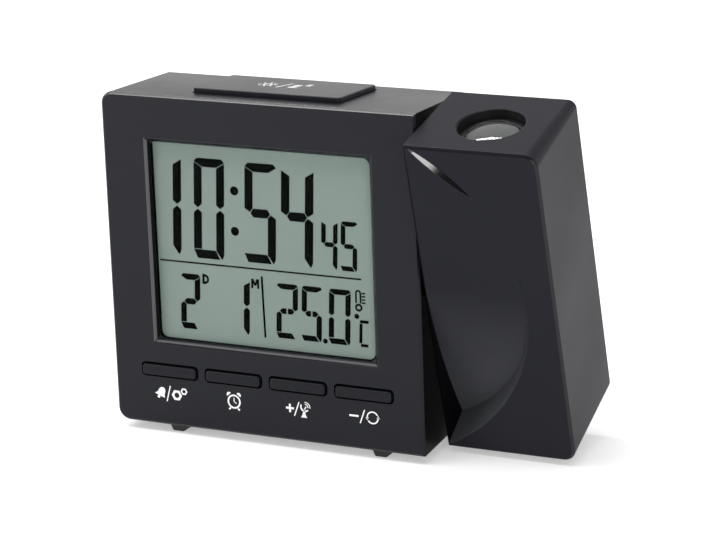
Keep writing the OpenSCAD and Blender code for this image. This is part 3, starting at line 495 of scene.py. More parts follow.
polish(case, edge_black, lambda q, n: lit_edge(q, n) and (q.z > 88.8 and n.z > 0.2
    or 12 < q.x < 14 and 24 < q.z < 77))
polish(case, edge_satin, lambda q, n: lit_edge(q, n) and 14 < q.x < 79 and 22 < q.z < 79)
# painted shade: the lip's innermost left ring and the case wall beside the arm take the darker finish
polish(case, shaded_black, lambda q, n: lit_edge(q, n) and 13.13 < q.x < 14 and 24 < q.z < 77)
polish(case, shaded_black, lambda q, n: q.x > 88.9 and n.x > 0.9)

# %% [markdown]
# ## The projector arm
# The arm is a tall box that tapers to the back. The thumb slides down a scoop in its front: a
# leaning round rim, a floor that runs out into the face in a long curve, and a thin wall on the
# side next to the case. The scoop is made as a solid tool from a cone, a block and a large
# cylinder, and cut out at once, so that rim and floor meet in a true line.

# %% Arm: outer form
arm = loft(
    outline(0, 92.1, 126.3, 2.5, 89.3, (0, 0, 2.7, 2.7), 12),
    outline(0.7, 91.4, 126.96, 1.85, 89.97, (0, 0, 3.4, 3.4), 12),
    outline(32, 91.4, 125, 4, 88.8, (0, 0, 2.2, 2.2), 12))
print("arm outer form:", len(arm.data.polygons), "faces")

# %% Arm: scoop
SCOOP_X, SCOOP_Z, WALL_TOP = 70.6, 46.5, 58.7
scoop = rod("Y", SCOOP_X, -2, SCOOP_Z, 16, 98.8, 82.8, sides=360)
beside_wall = block(91.9, 140, -4, 16, -10, WALL_TOP)
edit(beside_wall)
choose("VERT", lambda p, n: p.x < 92 and p.y < 0)
nudge(x=-0.6)
choose("VERT", lambda p, n: p.x < 92 and p.y > 0)
nudge(x=2.4)
carve(scoop, beside_wall, how="INTERSECT")
carve(scoop, rod("X", 60, 160.97, WALL_TOP, 90, 322, sides=900))
carve(arm, scoop)
print("arm with scoop:", len(arm.data.polygons), "faces")

# %% [markdown]
# Above the scoop a narrow flute carries its round edge on to the top corner. It lies between the
# scoop's own circle and a wider one, and its floor dips at forty degrees, so a cone cuts it. The
# scoop's radius, the flute's length and its width give the second circle.

# %% Arm: flute
FLUTE_L, FLUTE_W, SCOOP_R = 20.6, 1.9, 48.4
bulge = FLUTE_W - SCOOP_R + sqrt(SCOOP_R ** 2 - (FLUTE_L / 2) ** 2)
line_r = ((FLUTE_L / 2) ** 2 + bulge ** 2) / (2 * bulge)
reach = SCOOP_R - FLUTE_W + line_r
turn = acos(21.8 / SCOOP_R) - asin(FLUTE_L / 2 / SCOOP_R)
flute = rod("Y", SCOOP_X, -1, SCOOP_Z, 5, 2 * SCOOP_R, sides=360)
dip = 1 / tan(radians(40))
carve(flute, rod("Y", SCOOP_X + reach * cos(turn), -1, SCOOP_Z + reach * sin(turn), 5,
    2 * (line_r + dip), 2 * (line_r - 4 * dip), sides=360), how="INTERSECT")
carve(arm, flute)
print("flute line radius in mm:", round(line_r, 2))

# %% Arm: lens bore, cavity, axle hole and soft edges
LENS_X, LENS_Y, ARM_TOP = 108.9, 15.6, 89.415
carve(arm,
    block(93.8, 122.6, 5, 33, 38, 86.4),
    block(93.8, 122.6, 13.6, 33, 6.4, 38.5),
    block(92.5, 123.9, 29.8, 33, 5.1, 87.7),
    rod("Z", LENS_X, LENS_Y, 80, 20, 17),
    rod("Z", LENS_X, LENS_Y, ARM_TOP - 0.6, 2, 16.6, 20.6),
    rod("X", 90, HINGE_Y, HINGE_Z, 6, 10.1))
soften(arm, 0.12)
settle(arm, "arm_case", "arm", "arm_shell", slot="case_plastic", surface=arm_black, leaning=True)

# %% [markdown]
# The flute is cut by a polished tool and shines like glass. The bore takes the barrel's darker
# finish, as painted shade in the deep hole. The outer edges of the front are satin. The scoop
# takes the finish with painted light, and the thin wall that faces the case gets painted shade,
# a darker and duller finish. Each area is told apart by its distance from the lens's line or
# from the middle of the scoop's circle.

# %% Polish the flute, the lens bore and the arm's front edges, and paint light and shade
to_lens = lambda q: hypot(q.x - LENS_X, q.y - LENS_Y)
to_scoop = lambda q: hypot(q.x - SCOOP_X, q.z - SCOOP_Z)
polish(arm, polished_black, lambda q, n: q.z > WALL_TOP + 0.05 and 0.03 < q.y < 4
    and 45.8 < to_scoop(q) < 48.5, leaning=True)
# painted shade: the arm's bore takes the darker barrel finish, as shade in the deep hole
polish(arm, barrel_black, lambda q, n: q.z > 86 and to_lens(q) < 8.7 and n.z < 0.5, leaning=True)
polish(arm, edge_satin, lambda q, n: q.y < 0.8 and 0.2 < -n.y < 0.97 and max(n.x, n.z) > 0.2
    and (q.x > 126 or q.z > 88.6), leaning=True)
in_scoop = lambda q: (q.z < WALL_TOP - 0.01 and 91.5 < q.x < 120 and -0.2 < q.y < 9.5
    and to_scoop(q) < 48.6 - 0.4 * q.y)
# painted light: the scoop's faces take the finish that turns paler towards the foot
polish(arm, scoop_black, lambda q, n: in_scoop(q) and n.y < -0.05 and n.x < 0.5
    and q.y > 0.001, leaning=True)
# painted shade: the thin wall that faces the case takes the darker finish
polish(arm, shaded_black, lambda q, n: in_scoop(q) and n.x >= 0.5
    or q.y < 0.75 and q.x < 92.2 and n.x < -0.2, leaning=True)

# %% [markdown]
# ## Keys and snooze bar
# A key is a rounded bar with a soft bevel. Behind the wall it has a flange that keeps it in, and
# a stem that reaches its switch. It grows out of its flange by inset and extrude. The four keys
# are alike, so one is modelled and copied with a mesh of its own.

# %% One key
def push(depth):
    """Extrude the chosen faces along Y. A negative depth comes forward."""
    bpy.ops.mesh.extrude_region_move(TRANSFORM_OT_translate={"value": (0, depth * MM, 0)})


key = pad(KEY_X[0] - 8.85, KEY_X[0] + 8.85, 12.95, 17.55, 2.5, 3.5, 1.6)
edit(key)
choose("FACE", lambda p, n: n.y < -0.9)
bpy.ops.mesh.inset(thickness=0.87 * MM)
push(-2.95)
bpy.ops.mesh.inset(thickness=0.3 * MM, depth=0.25 * MM)
carve(key, block(KEY_X[0] - 2, KEY_X[0] + 2, 3, 4.8, 14.05, 16.45), how="UNION")
soften(key, 0.1, steps=3)
print("one key:", len(key.data.polygons), "faces")

# %% Four keys
for i, part in enumerate(("bell_key", "alarm_key", "plus_key", "minus_key")):
    copy = twin(key)
    hold(copy)
    copy.location = (KEY_PITCH * i * MM, 0, 0)
    bake_place()
    settle(copy, part + "_cap", part, part, slot="key_plastic", surface=key_black)
bpy.data.objects.remove(key)

# %% [markdown]
# The snooze bar is a wide plate whose top lies parallel to the case's sloping top. Its edges are
# small bevels. The front and back of the top are lowered by what the slope takes there.

# %% Snooze bar
BAR_FRONT, BAR_BACK, BAR_TOP = 6.6, 28.5, 91.3
DROP_FRONT, DROP_BACK = 0.3, 1.295
snooze = block(24.05, 66.45, BAR_FRONT, BAR_BACK, 86, BAR_TOP)
edit(snooze)
choose("VERT", lambda p, n: p.z > 90 and p.y < 10)
nudge(z=-DROP_FRONT)
choose("VERT", lambda p, n: p.z > 90 and p.y > 20)
nudge(z=-DROP_BACK)
choose("EDGE", lambda p, way: abs(way.z) > 0.9)
bpy.ops.mesh.bevel(offset=1.0 * MM, segments=5, affect="EDGES")
choose("EDGE", lambda p, way: p.z > 89 and abs(way.z) < 0.5)
bpy.ops.mesh.bevel(offset=0.35 * MM, segments=2, affect="EDGES")
carve(snooze, block(22.85, 67.65, 5.8, 29.3, 85.1, 86.3), how="UNION")
soften(snooze, 0.08)
settle(snooze, "snooze_cap", "snooze", "snooze_bar", slot="key_plastic", surface=case_black)

# %% [markdown]
# ## Flat marks
# The display segments and the printed signs are flat shapes, only some hundredths of a millimetre
# thick. A 2D curve fills any closed outline, holes included, so each mark is drawn as outlines,
# given a small thickness and made a mesh. It is drawn in whole units and scaled down afterwards,
# because the fill is unreliable on outlines a few millionths of a metre apart.

# %% Outlines for flat marks
def disc(x, z, radius, steps=28):
    """A full circle."""
    return [(x + radius * cos(2 * pi * i / steps), z + radius * sin(2 * pi * i / steps))
            for i in range(steps)]


def line(x0, z0, x1, z1, width):
    """A straight stroke between two points."""
    length = sqrt((x1 - x0) ** 2 + (z1 - z0) ** 2)
    dx, dz = (z0 - z1) * width / 2 / length, (x1 - x0) * width / 2 / length
    return [(x0 + dx, z0 + dz), (x1 + dx, z1 + dz), (x1 - dx, z1 - dz), (x0 - dx, z0 - dz)]


def bow(x, z, radius, width, start, end, steps=16):
    """A stroke along an arc, from one angle in degrees to another."""
    angles = [radians(start + (end - start) * i / steps) for i in range(steps + 1)]
    return ([(x + (radius + width / 2) * cos(a), z + (radius + width / 2) * sin(a)) for a in angles]
        + [(x + (radius - width / 2) * cos(a), z + (radius - width / 2) * sin(a))
           for a in reversed(angles)])


# %% Fill the outlines and set them upright
def plate(*outlines, thick=0.04):
    """Fill these outlines in the XY plane and give them a thickness."""
    art = bpy.data.curves.new("mark", "CURVE")
    art.dimensions = "2D"
    art.fill_mode = "BOTH"
    art.extrude = thick / 2
    for outline_points in outlines:
        stroke = art.splines.new("POLY")
        stroke.points.add(len(outline_points) - 1)
        for point, (x, z) in zip(stroke.points, outline_points):
            point.co = (x, z, 0, 1)
        stroke.use_cyclic_u = True
    hold(in_scene("mark", art))
    bpy.ops.object.convert(target="MESH")
    piece = bpy.context.object
    edit(piece)
    bpy.ops.mesh.select_all(action="SELECT")
    bpy.ops.mesh.remove_doubles(threshold=0.0005)
    face_outwards()
    hold(piece)
    piece.scale = (MM, MM, MM)
    bake_place()
    return piece


def upright(piece, y):
    """Turn a flat mark to face the front, at a depth."""
    hold(piece)
    piece.rotation_euler = (pi / 2, 0, 0)
    piece.location = (0, y * MM, 0)
    bake_place()
    return piece


# %% [markdown]
# ## The display
# A liquid crystal display shows black segments on a grey-green reflector. Each digit is made of
# seven bars with pointed or slanted ends, kept apart by a fine gap, and leans slightly to the
# right. One function gives the outlines of the bars, and each digit lists the bars that it shows.
# In the degrees the middle bar is made of two short ones.

# %% Seven-bar digits
SHOWN = {"0": "ABCDEF", "1": "BC", "2": "ABGED", "4": "FGBC", "5": "AFGCD"}
SLANT = 0.047


def lean_over(outline_points, z0):
    """Shift each point to the right by its height above z0."""
    return [(x + SLANT * (z - z0), z) for x, z in outline_points]


def digit(sign, x, z, w, h, s, tip=0.5, gap=0.19, halved=False):
    """The outlines of the shown bars: w and h are the digit's size, s its stroke. halved splits
    the middle bar in two."""
    mid, half, cut = h / 2, s / 2, 0.4 * s
    left = [(0, h - cut - gap), (s, h - s - gap), (s, mid + half), (tip * s, mid + gap),
            (0, mid + half)]
    lower = [(0, mid - half), (tip * s, mid - gap), (s, mid - half), (s, s + gap), (0, s + gap)]
    bars = {
        "A": [(0, h - cut), (cut, h), (w - cut, h), (w, h - cut), (w - s, h - s), (s, h - s)],
        "F": left,
        "B": [(w - u, v) for u, v in left],
        "G": [(tip * s + gap, mid), (s + gap, mid + half), (w - s - gap, mid + half),
              (w - tip * s - gap, mid), (w - s - gap, mid - half), (s + gap, mid - half)],
        "E": lower,
        "C": [(w - s, mid - half), (w - tip * s, mid - gap), (w, mid - half), (w, half),
              (w - s / 4, 0), (w - s, s)],
        "D": [(0, s), (w - s - gap, s), (w - half, 0), (half, 0)]}
    shown = [bars[name] for name in SHOWN[sign]]
    if halved and "G" in SHOWN[sign]:
        half_bar = [(tip * s + gap, mid), (s + gap, mid + half), (w / 2 - gap, mid + half),
            (w / 2 - gap, mid - half), (s + gap, mid - half)]
        shown.remove(bars["G"])
        shown += [half_bar, [(w - u, v) for u, v in half_bar]]
    return [lean_over([(x + u, z + v) for u, v in bar], z) for bar in shown]


# %% The segments that show
time_digits = plate(
    *digit("1", 11.5, 46.9, 9.1, 26.95, 2.48), *digit("0", 24.35, 46.5, 8.95, 27, 2.35),
    *digit("5", 39.28, 46.7, 9.15, 26.6, 2.35, 0.65), *digit("4", 49.85, 46.7, 9.3, 26.5, 2.42, 0.65),
    disc(37.14, 65.46, 1.2), disc(36.84, 54.62, 1.2))
second_digits = plate(*digit("4", 61.45, 46.9, 4.65, 13.1, 1.28, gap=0.15),
    *digit("5", 67.0, 46.85, 4.7, 13.1, 1.28, gap=0.15))
date_digits = plate(*digit("2", 19.4, 26.8, 5.75, 15.1, 1.65, gap=0.16),
    *digit("1", 34.15, 26.8, 5.7, 15.3, 1.75, gap=0.16))
degrees_digits = plate(*digit("2", 47.7, 27, 6.2, 14.8, 1.5, gap=0.2, halved=True),
    *digit("5", 55.0, 27, 5.85, 14.8, 1.5, gap=0.2, halved=True),
    *digit("0", 62.85, 27, 6.2, 14.8, 1.5, gap=0.2),
    disc(61.93, 27.45, 0.68), disc(71.2, 35.06, 0.68))
print("time digits:", len(time_digits.data.polygons), "faces")

# %% [markdown]
# The display also has a few small signs: a letter for day and for month, a thermometer, the
# letter for the temperature scale and two thin dividing lines. Strokes that share one plate must
# not overlap, because the fill would turn the shared area into a hole.

# %% Small signs on the display
def half_disc(x, z, radius):
    """The right half of a circle, from its top to its foot."""
    return [(x + radius * cos(a), z + radius * sin(a))
            for a in (radians(90 - 12 * i) for i in range(16))]


small_signs = plate(
    line(14.07, 45, 72.83, 45, 0.42), line(44.1, 43.17, 44.44, 26.63, 0.58),
    [(26.4, 39.5), (26.52, 42.25), *half_disc(27.1, 40.87, 1.37)],
    [(27.1, 40.15), (27.16, 41.6), *half_disc(27.22, 40.87, 0.66)],
    line(41.2, 39.7, 41.25, 42.25, 0.58), line(41.45, 42.2, 42.02, 40.5, 0.52),
    line(42.14, 40.5, 42.72, 42.2, 0.52), line(42.93, 39.7, 42.98, 42.25, 0.58),
    disc(71.85, 37.45, 1.05), disc(71.85, 37.45, 0.5), bow(71.78, 41.3, 0.62, 0.48, 0, 180),
    line(71.14, 38.6, 71.16, 41.25, 0.48), line(72.4, 38.6, 72.42, 41.25, 0.48),
    *(line(72.75, z, 73.8, z, 0.4) for z in (38.75, 39.6, 40.45, 41.3)),
    *(lean_over(p, 27.04) for p in (
        line(71.75, 33.75, 74.2, 33.75, 0.8), line(72.1, 27.4, 74.2, 27.4, 0.8),
        line(72.05, 27.95, 72.05, 33.2, 0.85))))
print("small signs:", len(small_signs.data.polygons), "faces")

# %% [markdown]
# Segment ink is a dull black with a trace of blue-green. The reflector behind it is a faintly
# mottled film. The pane in front must let light through in both directions, so it is nearly
# transparent instead of refracting, and keeps only a thin gloss.

# %% Display finishes
ink = finish("segment_ink", (0.0015, 0.0018, 0.0016), (0.003, 0.0036, 0.0033), (0.5, 0.6), grain=0.5,
    drift=12, bump=0.02, specular=0.0)
film = finish("display_film", (0.191, 0.2425, 0.218), (0.216, 0.2675, 0.242), (0.6, 0.7), grain=0.6,
    drift=18, bump=0.03, specular=0.0)
pane = finish("window_clear", (0.02, 0.024, 0.022), (0.03, 0.034, 0.032), (0.03, 0.06), grain=3,
    drift=40, bump=0.01, ior=1.49)
pane.node_tree.nodes["Principled BSDF"].inputs["Alpha"].default_value = 0.015
pane.surface_render_method = "BLENDED"
PANE_BACK, BORDER_Y, SEGMENT_Y = 2.6, 2.635, 2.675
for piece, name in ((time_digits, "time_digits"), (second_digits, "second_digits"),
                    (date_digits, "date_digits"), (degrees_digits, "degrees_digits"),
                    (small_signs, "small_signs")):
    settle(upright(piece, SEGMENT_Y), name, "clock", slot="lcd_glass", surface=ink)

# %% Black border printed behind the pane
border = plate([(12.3, 22.7), (78.2, 22.7), (78.2, 78.5), (12.3, 78.5)],
    [(cx + r * cos(a), cz + r * sin(a))
     for cx, cz, r, start in ((15.5, 25.75, 1.9, 180), (74.35, 25.75, 1.9, 270),
                              (74.35, 75.0, 1.9, 0), (14.1, 76.4, 0.5, 90))
     for a in (radians(start + 9 * i) for i in range(11))], thick=0.03)
settle(upright(border, BORDER_Y), "display_border", "clock", slot="window_clear", surface=ink)

# %% Window pane
window = pad(11.65, 78.85, 22.0, 79.2, 1.6, PANE_BACK, 1.5)
soften(window, 0.08)
settle(window, "window_pane", "clock", "lcd_window", slot="window_clear", surface=pane)

# %% [markdown]
# ## Printed signs
# White signs are pad-printed under the keys and on the snooze bar. The film of ink is a few
# hundredths thick and slightly uneven, so its colour and gloss vary a little. A gear is a ring
# whose outer outline steps in and out, and the hole inside is simply a second outline.

# %% Outline of a gear
def gear(x, z, outer, hole, teeth):
    """A gear's outline and the hole inside it."""
    points = []
    for i in range(teeth * 4):
        radius = outer if i % 4 in (0, 1) else outer * 0.9
        turn = 2 * pi * (i - 0.5) / (teeth * 4)
        points.append((x + radius * cos(turn), z + radius * sin(turn)))
    return [points, disc(x, z, hole)]


# %% Signs under the keys
bell_sign = plate(
    [(11.9, 8.75), (12.75, 9.25), (13.2, 10.0), (13.8, 10.5), (14.5, 10.5), (15.0, 10.0),
     (15.0, 9.3), (14.75, 8.5), (14.8, 7.6), (14.3, 7.55), (12.4, 8.5)],
    disc(13.0, 7.8, 0.4), line(16.62, 11.08, 15.41, 6.71, 0.32),
    *gear(18.5, 8.7, 1.5, 0.75, 6), *gear(20.72, 9.95, 0.98, 0.5, 6))
alarm_sign = plate(
    disc(35.72, 8.9, 1.95), disc(35.72, 8.9, 1.5),
    line(35.72, 9.95, 35.72, 8.85, 0.26), line(35.85, 8.8, 36.4, 8.45, 0.26),
    bow(34.3, 10.75, 0.35, 0.7, 40, 220, 10), bow(37.1, 10.75, 0.35, 0.7, -40, 140, 10),
    line(34.65, 7.1, 34.15, 6.65, 0.45), line(36.8, 7.1, 37.3, 6.65, 0.45))
plus_sign = plate(
    [(51.93, 10.2), (51.93, 9.33), (51.05, 9.33), (51.05, 8.77), (51.93, 8.77), (51.93, 7.9),
     (52.49, 7.9), (52.49, 8.77), (53.37, 8.77), (53.37, 9.33), (52.49, 9.33), (52.49, 10.2)],
    line(54.92, 10.94, 53.45, 7.04, 0.32),
    [(55.35, 6.85), (57.15, 6.85), (56.75, 7.6), (56.5, 8.7), (56.1, 8.7), (55.8, 7.6)],
    bow(56.55, 9.75, 1.15, 0.4, 150, 320), line(56.4, 9.1, 56.95, 9.9, 0.3),
    bow(56.75, 9.75, 0.75, 0.24, -10, 100), bow(56.75, 9.75, 1.3, 0.24, -10, 100))
minus_sign = plate(
    line(69.39, 9.12, 72.04, 9.12, 0.5), line(73.82, 10.97, 72.45, 7.24, 0.32),
    bow(76.06, 9.1, 1.55, 0.36, 28, 195), bow(76.06, 9.1, 1.55, 0.36, 215, 372),
    [(74.05, 9.05), (74.95, 9.05), (74.5, 8.25)], [(77.2, 9.0), (78.05, 9.0), (77.62, 9.85)])
print("key sign faces:", [len(sign.data.polygons)
    for sign in (bell_sign, alarm_sign, plus_sign, minus_sign)])

# %% Sign on the snooze bar
rays = [line(40 + 1.75 * cos(a), 18.3 + 1.75 * sin(a), 40 + 2.7 * cos(a), 18.3 + 2.7 * sin(a), 0.42)
        for a in (pi * i / 4 for i in range(8))]
snooze_sign = plate(
    disc(40, 18.3, 1.3), disc(40, 18.3, 0.85), *rays, line(43.9, 15.2, 45.7, 21.6, 0.42),
    [(46.9, 19.9), (49.5, 19.9), (49.5, 19.35), (47.9, 16.65), (49.5, 16.65), (49.5, 16.05),
     (46.8, 16.05), (46.8, 16.6), (48.4, 19.3), (46.9, 19.3)],
    [(50.3, 21.8), (51.8, 21.8), (51.8, 21.4), (50.95, 20.0), (51.8, 20.0), (51.8, 19.55),
     (50.25, 19.55), (50.25, 20.0), (51.1, 21.35), (50.3, 21.35)])
hold(snooze_sign)
slope = (DROP_FRONT - DROP_BACK) / (BAR_BACK - BAR_FRONT)
snooze_sign.rotation_euler = (slope, 0, 0)
snooze_sign.location = (0, 0, (BAR_TOP - DROP_FRONT - slope * BAR_FRONT) * MM)
bake_place()
print("snooze bar's slope in degrees:", round(degrees(slope), 2))

# %% Print finish
print_white = finish("print_white", (0.78, 0.78, 0.79), (0.88, 0.88, 0.88), (0.45, 0.6), grain=0.15,
    drift=4, bump=0.25)
for piece, name in ((bell_sign, "bell_gear_sign"), (alarm_sign, "alarm_sign"),
                    (plus_sign, "plus_signal_sign"), (minus_sign, "minus_turn_sign")):
    settle(upright(piece, 0), name, "clock", slot="case_plastic", surface=print_white)
settle(snooze_sign, "light_snooze_sign", "snooze", slot="key_plastic", surface=print_white)

# %% [markdown]
# ## Lens and barrel
# The projector's lens is a glass drum with a low dome, held in a black barrel. Both are round
# about one line, so each is drawn as half a section and spun round it. A lathe does the same, and
# the section is easier to get right than a stack of cylinders. The drum's flat underside is ground,
# so it gets a satin grey finish, which is what shows through the dome.

# %% Spin a section round an upright line
def turned(x, y, *section, steps=96):
    """Spin (radius, height) points about the line through x, y."""
    path = bpy.data.curves.new("section", "CURVE")
    path.dimensions = "3D"
    stroke = path.splines.new("POLY")
    stroke.points.add(len(section) - 1)
    for point, (radius, z) in zip(stroke.points, section):
        point.co = ((x + radius) * MM, y * MM, z * MM, 1)
    hold(in_scene("section", path))
    bpy.ops.object.convert(target="MESH")
    piece = bpy.context.object
    edit(piece)
    bpy.ops.mesh.select_all(action="SELECT")
    bpy.ops.mesh.spin(steps=steps, angle=2 * pi, center=(x * MM, y * MM, 0), axis=(0, 0, 1))
    bpy.ops.mesh.select_all(action="SELECT")
    bpy.ops.mesh.remove_doubles(threshold=0.002 * MM)
    face_outwards()
    hold(piece)
    bpy.ops.object.shade_smooth_by_angle(angle=radians(25))
    return piece


# %% Lens
DOME_R, DOME_TOP, DRUM_FOOT = 26.14, 87.915, 84.12
dome = [(r, DOME_TOP - DOME_R + sqrt(DOME_R ** 2 - r ** 2)) for r in (6.7 * i / 14 for i in range(15))]
drum = turned(LENS_X, LENS_Y, *dome, (6.76, 87.0), (6.78, 86.94), (6.78, 84.2), (6.7, DRUM_FOOT),
    (0, DRUM_FOOT))
print("lens faces:", len(drum.data.polygons))

# %% Barrel
tube = turned(LENS_X, LENS_Y, (6, 66), (8.3, 66), (8.3, 84.4), (8.7, 84.4), (8.79, 84.5),
    (8.79, 86.3), (8.7, 86.38), (8.3, 86.38), (8.3, 86.45), (8.17, 86.6), (7.0, 86.6), (6.88, 86.48),
    (6.86, 86.3), (6.86, 84.02), (6, 84.02), (6, 66))
print("barrel faces:", len(tube.data.polygons))

# %% Lens and barrel finishes
def glass(name, tint, rough, ior=1.49):
    """Clear glass: light goes through it, and faint wiping marks vary its gloss."""
    material = finish(name, tint, tint, rough, grain=2, drift=9, bump=0.0, ior=ior)
    material.node_tree.nodes["Principled BSDF"].inputs["Transmission Weight"].default_value = 1.0
    return material


lens_glass = glass("lens_glass", (0.93, 0.94, 0.95), (0.0, 0.03))
image_glass = glass("image_glass", (0.55, 0.62, 0.64), (0.02, 0.06), 1.52)
settle(drum, "lens_drum", "arm", "projection_lens", slot="lens_glass", surface=lens_glass,
    leaning=True)
lens_back = finish("lens_back", (0.13, 0.13, 0.134), (0.16, 0.16, 0.164), (0.45, 0.6), drift=4)
polish(drum, lens_back, lambda q, n: q.z < DRUM_FOOT + 0.03 and n.z < -0.9, leaning=True)
settle(tube, "lens_tube", "arm", "lens_barrel", slot="black_plastic", surface=barrel_black,
    leaning=True)

# %% [markdown]
# ## Feet
# The four feet are rubber wedges that are pressed into pockets under the case. They get narrower
# towards the table, and their lower edges are worn round.

# %% Feet
feet = []
for x in FOOT_X:
    for y in FOOT_Y:
        foot = block(x - 2.6, x + 2.6, y, y + 5, -2.2, 2)
        edit(foot)
        choose("EDGE", lambda p, way: abs(way.z) > 0.9)
        bpy.ops.mesh.subdivide(number_cuts=1)
        choose("VERT", lambda p, n: abs(p.z + 0.1) < 0.2)
        nudge(z=0.1)
        choose("VERT", lambda p, n: p.z < -2 and p.x < x)
        nudge(x=1)
        choose("VERT", lambda p, n: p.z < -2 and p.x > x)
        nudge(x=-1)
        rest()
        feet.append(foot)
rubber_feet = soften(add_up(*feet), 0.22, steps=3)
settle(rubber_feet, "rubber_feet", "clock", "feet", slot="rubber_black", surface=rubber)

# %% [markdown]
# ## Back, door and fittings
# These pieces have the right shape in the measured model already, only with knife-sharp edges. A
# measured piece is loose triangles, so a copy is merged, its flat faces are joined, and its edges
# are rounded. The copy then stands for the measured piece.

# %% Softened copies of measured pieces
for node, body, slot, surface, width in (
        ("back_cover", "clock", "case_plastic", case_black, 0.12),
        ("battery_door", "battery_door", "case_plastic", case_black, 0.12),
        ("arm_back", "arm", "case_plastic", arm_black, 0.12),
        ("dc_inlet", "clock", "black_plastic", barrel_black, 0.06),
        ("hinge_bush", "clock", "black_plastic", barrel_black, 0.1)):
    copy = soften(twin(bpy.data.objects[node]), width)
    dress(copy, node + "_soft", body, [node], surface)

# %% [markdown]
# ## Finishes inside
# The inside shows when the door is open or the case is taken apart. Circuit boards have copper
# tracks under green lacquer, battery cells have a printed band and bare ends, and springs are
# nickel-plated wire. All of these keep their measured shapes and get finishes of their own.

# %% Metals and plain plastics
steel = finish("steel_plated", (0.56, 0.56, 0.58), (0.66, 0.66, 0.67), (0.18, 0.34), grain=0.3,
    drift=5, bump=0.12, metal=1.0)
spring_steel = finish("spring_steel", (0.42, 0.42, 0.44), (0.55, 0.55, 0.56), (0.28, 0.45),
    grain=0.2, drift=4, bump=0.2, metal=1.0)
white_plastic = finish("frame_white", (0.7, 0.7, 0.67), (0.78, 0.78, 0.75), (0.4, 0.55), drift=12)
clear_plastic = finish("guide_acrylic", (0.8, 0.83, 0.8), (0.86, 0.88, 0.86), (0.12, 0.25),
    drift=15, bump=0.03)
cable_black = finish("cable_jacket", (0.012, 0.012, 0.013), (0.02, 0.02, 0.021), (0.4, 0.55),
    grain=0.3, drift=6, bump=0.2)
epoxy = finish("led_epoxy", (0.75, 0.73, 0.6), (0.82, 0.8, 0.7), (0.1, 0.2), drift=3, bump=0.02)
strip_rubber = finish("strip_rubber", (0.2, 0.09, 0.1), (0.26, 0.12, 0.13), (0.55, 0.7), grain=0.2,
    drift=2, bump=0.2)
print("finishes so far:", len(bpy.data.materials))


# %% Circuit board finish
def board_finish(name):
    """Green lacquer over tracks. The tracks are the joints of a brick pattern turned upright."""
    material = finish(name, (0.006, 0.055, 0.022), (0.009, 0.07, 0.028), (0.28, 0.42), drift=14)
    tree = material.node_tree
    shader = tree.nodes["Principled BSDF"]
    lacquer = shader.inputs["Base Color"].links[0].from_socket
    place = add_node(tree, "ShaderNodeTexCoord")
    turned_place = add_node(tree, "ShaderNodeMapping")
    turned_place.inputs["Rotation"].default_value = (pi / 2, 0, 0)
    tree.links.new(place.outputs["Object"], turned_place.inputs["Vector"])
    tracks = add_node(tree, "ShaderNodeTexBrick")
    tracks.inputs["Scale"].default_value = 1 / MM / 8
    tracks.inputs["Mortar Size"].default_value = 0.06
    tracks.inputs["Mortar Smooth"].default_value = 0.1
    tree.links.new(turned_place.outputs["Vector"], tracks.inputs["Vector"])
    colour = blend(tree, tracks.outputs["Fac"], lacquer, (0.02, 0.13, 0.05))
    tree.links.new(colour, shader.inputs["Base Color"])
    return material


board_green = board_finish("board_green")
print("board finish nodes:", len(board_green.node_tree.nodes))

# %% [markdown]
# A cell's jacket is dark for two thirds of its length and copper-coloured at the plus end, with
# bare metal at both ends. The bands follow the length of the cell, so the finish reads the X
# coordinate and switches between three colours at set places.

# %% Battery finish
jacket = finish("cell_jacket", (0.012, 0.012, 0.014), (0.02, 0.02, 0.022), (0.22, 0.34), drift=10)
tree = jacket.node_tree
shader = tree.nodes["Principled BSDF"]
dark = shader.inputs["Base Color"].links[0].from_socket
along = coordinates(tree)["X"]
CELL_0 = CORNER.x + 18.7 * MM
band = ramp(tree, along, 0, 1, CELL_0 + 34 * MM, CELL_0 + 34.3 * MM)
print("cells start at", round(CELL_0 / MM, 2), "mm")
coppered = blend(tree, band, dark, (0.35, 0.13, 0.045))
low_end = ramp(tree, along, 1, 0, CELL_0 + 0.5 * MM, CELL_0 + 0.6 * MM)
high_end = ramp(tree, along, 0, 1, CELL_0 + 49.3 * MM, CELL_0 + 49.4 * MM)
ends = maths(tree, "MAXIMUM", low_end, high_end)
tree.links.new(blend(tree, ends, coppered, (0.6, 0.6, 0.6)), shader.inputs["Base Color"])

# %% Finishes of the measured pieces that stay
STAYING = {
    steel: ("battery_springs", "battery_plates", "board_screws", "cover_screws", "arm_screws"),
    spring_steel: ("hinge_spring", "hinge_clip"),
    jacket: ("battery_upper", "battery_lower"),
    board_green: ("main_board", "lamp_board", "arm_board"),
    barrel_black: ("clock_chip", "key_switches", "snooze_switch", "buzzer", "hinge_axle"),
    white_plastic: ("lcd_frame", "lamp_tube"),
    clear_plastic: ("light_guide",), strip_rubber: ("zebra_strip",), film: ("lcd_panel",),
    cable_black: ("hinge_cable",), image_glass: ("image_lcd",), epoxy: ("lamp_led",)}
for surface, nodes in STAYING.items():
    for node in nodes:
        for slot in bpy.data.objects[node].material_slots:
            slot.material = surface
print("dressed", sum(len(nodes) for nodes in STAYING.values()), "measured pieces")

# %% [markdown]
# ## Table, light and camera
# A black object shows its form by what it reflects. Under an even white surround its front stays
# dark, while faces seen at a slant turn grey, and only small soft lamps are needed to draw the
# edges and the shadow. The camera sees the surround as plain white. Gloss and glass see a room that
# is dark on the front side and dims overhead, and dull faces get an even, lower level. The table
# glows a little for the camera and for gloss only, so it stays white and the shadow stays soft.

# %% What the camera, gloss and glass see
def any_view(tree):
    """1 on rays from the camera, a reflection or glass, and 0 on the light that falls on things."""
    seen = add_node(tree, "ShaderNodeLightPath").outputs
    mirror = maths(tree, "MAXIMUM", seen["Is Camera Ray"], seen["Is Glossy Ray"])
    return maths(tree, "MAXIMUM", mirror, seen["Is Transmission Ray"])


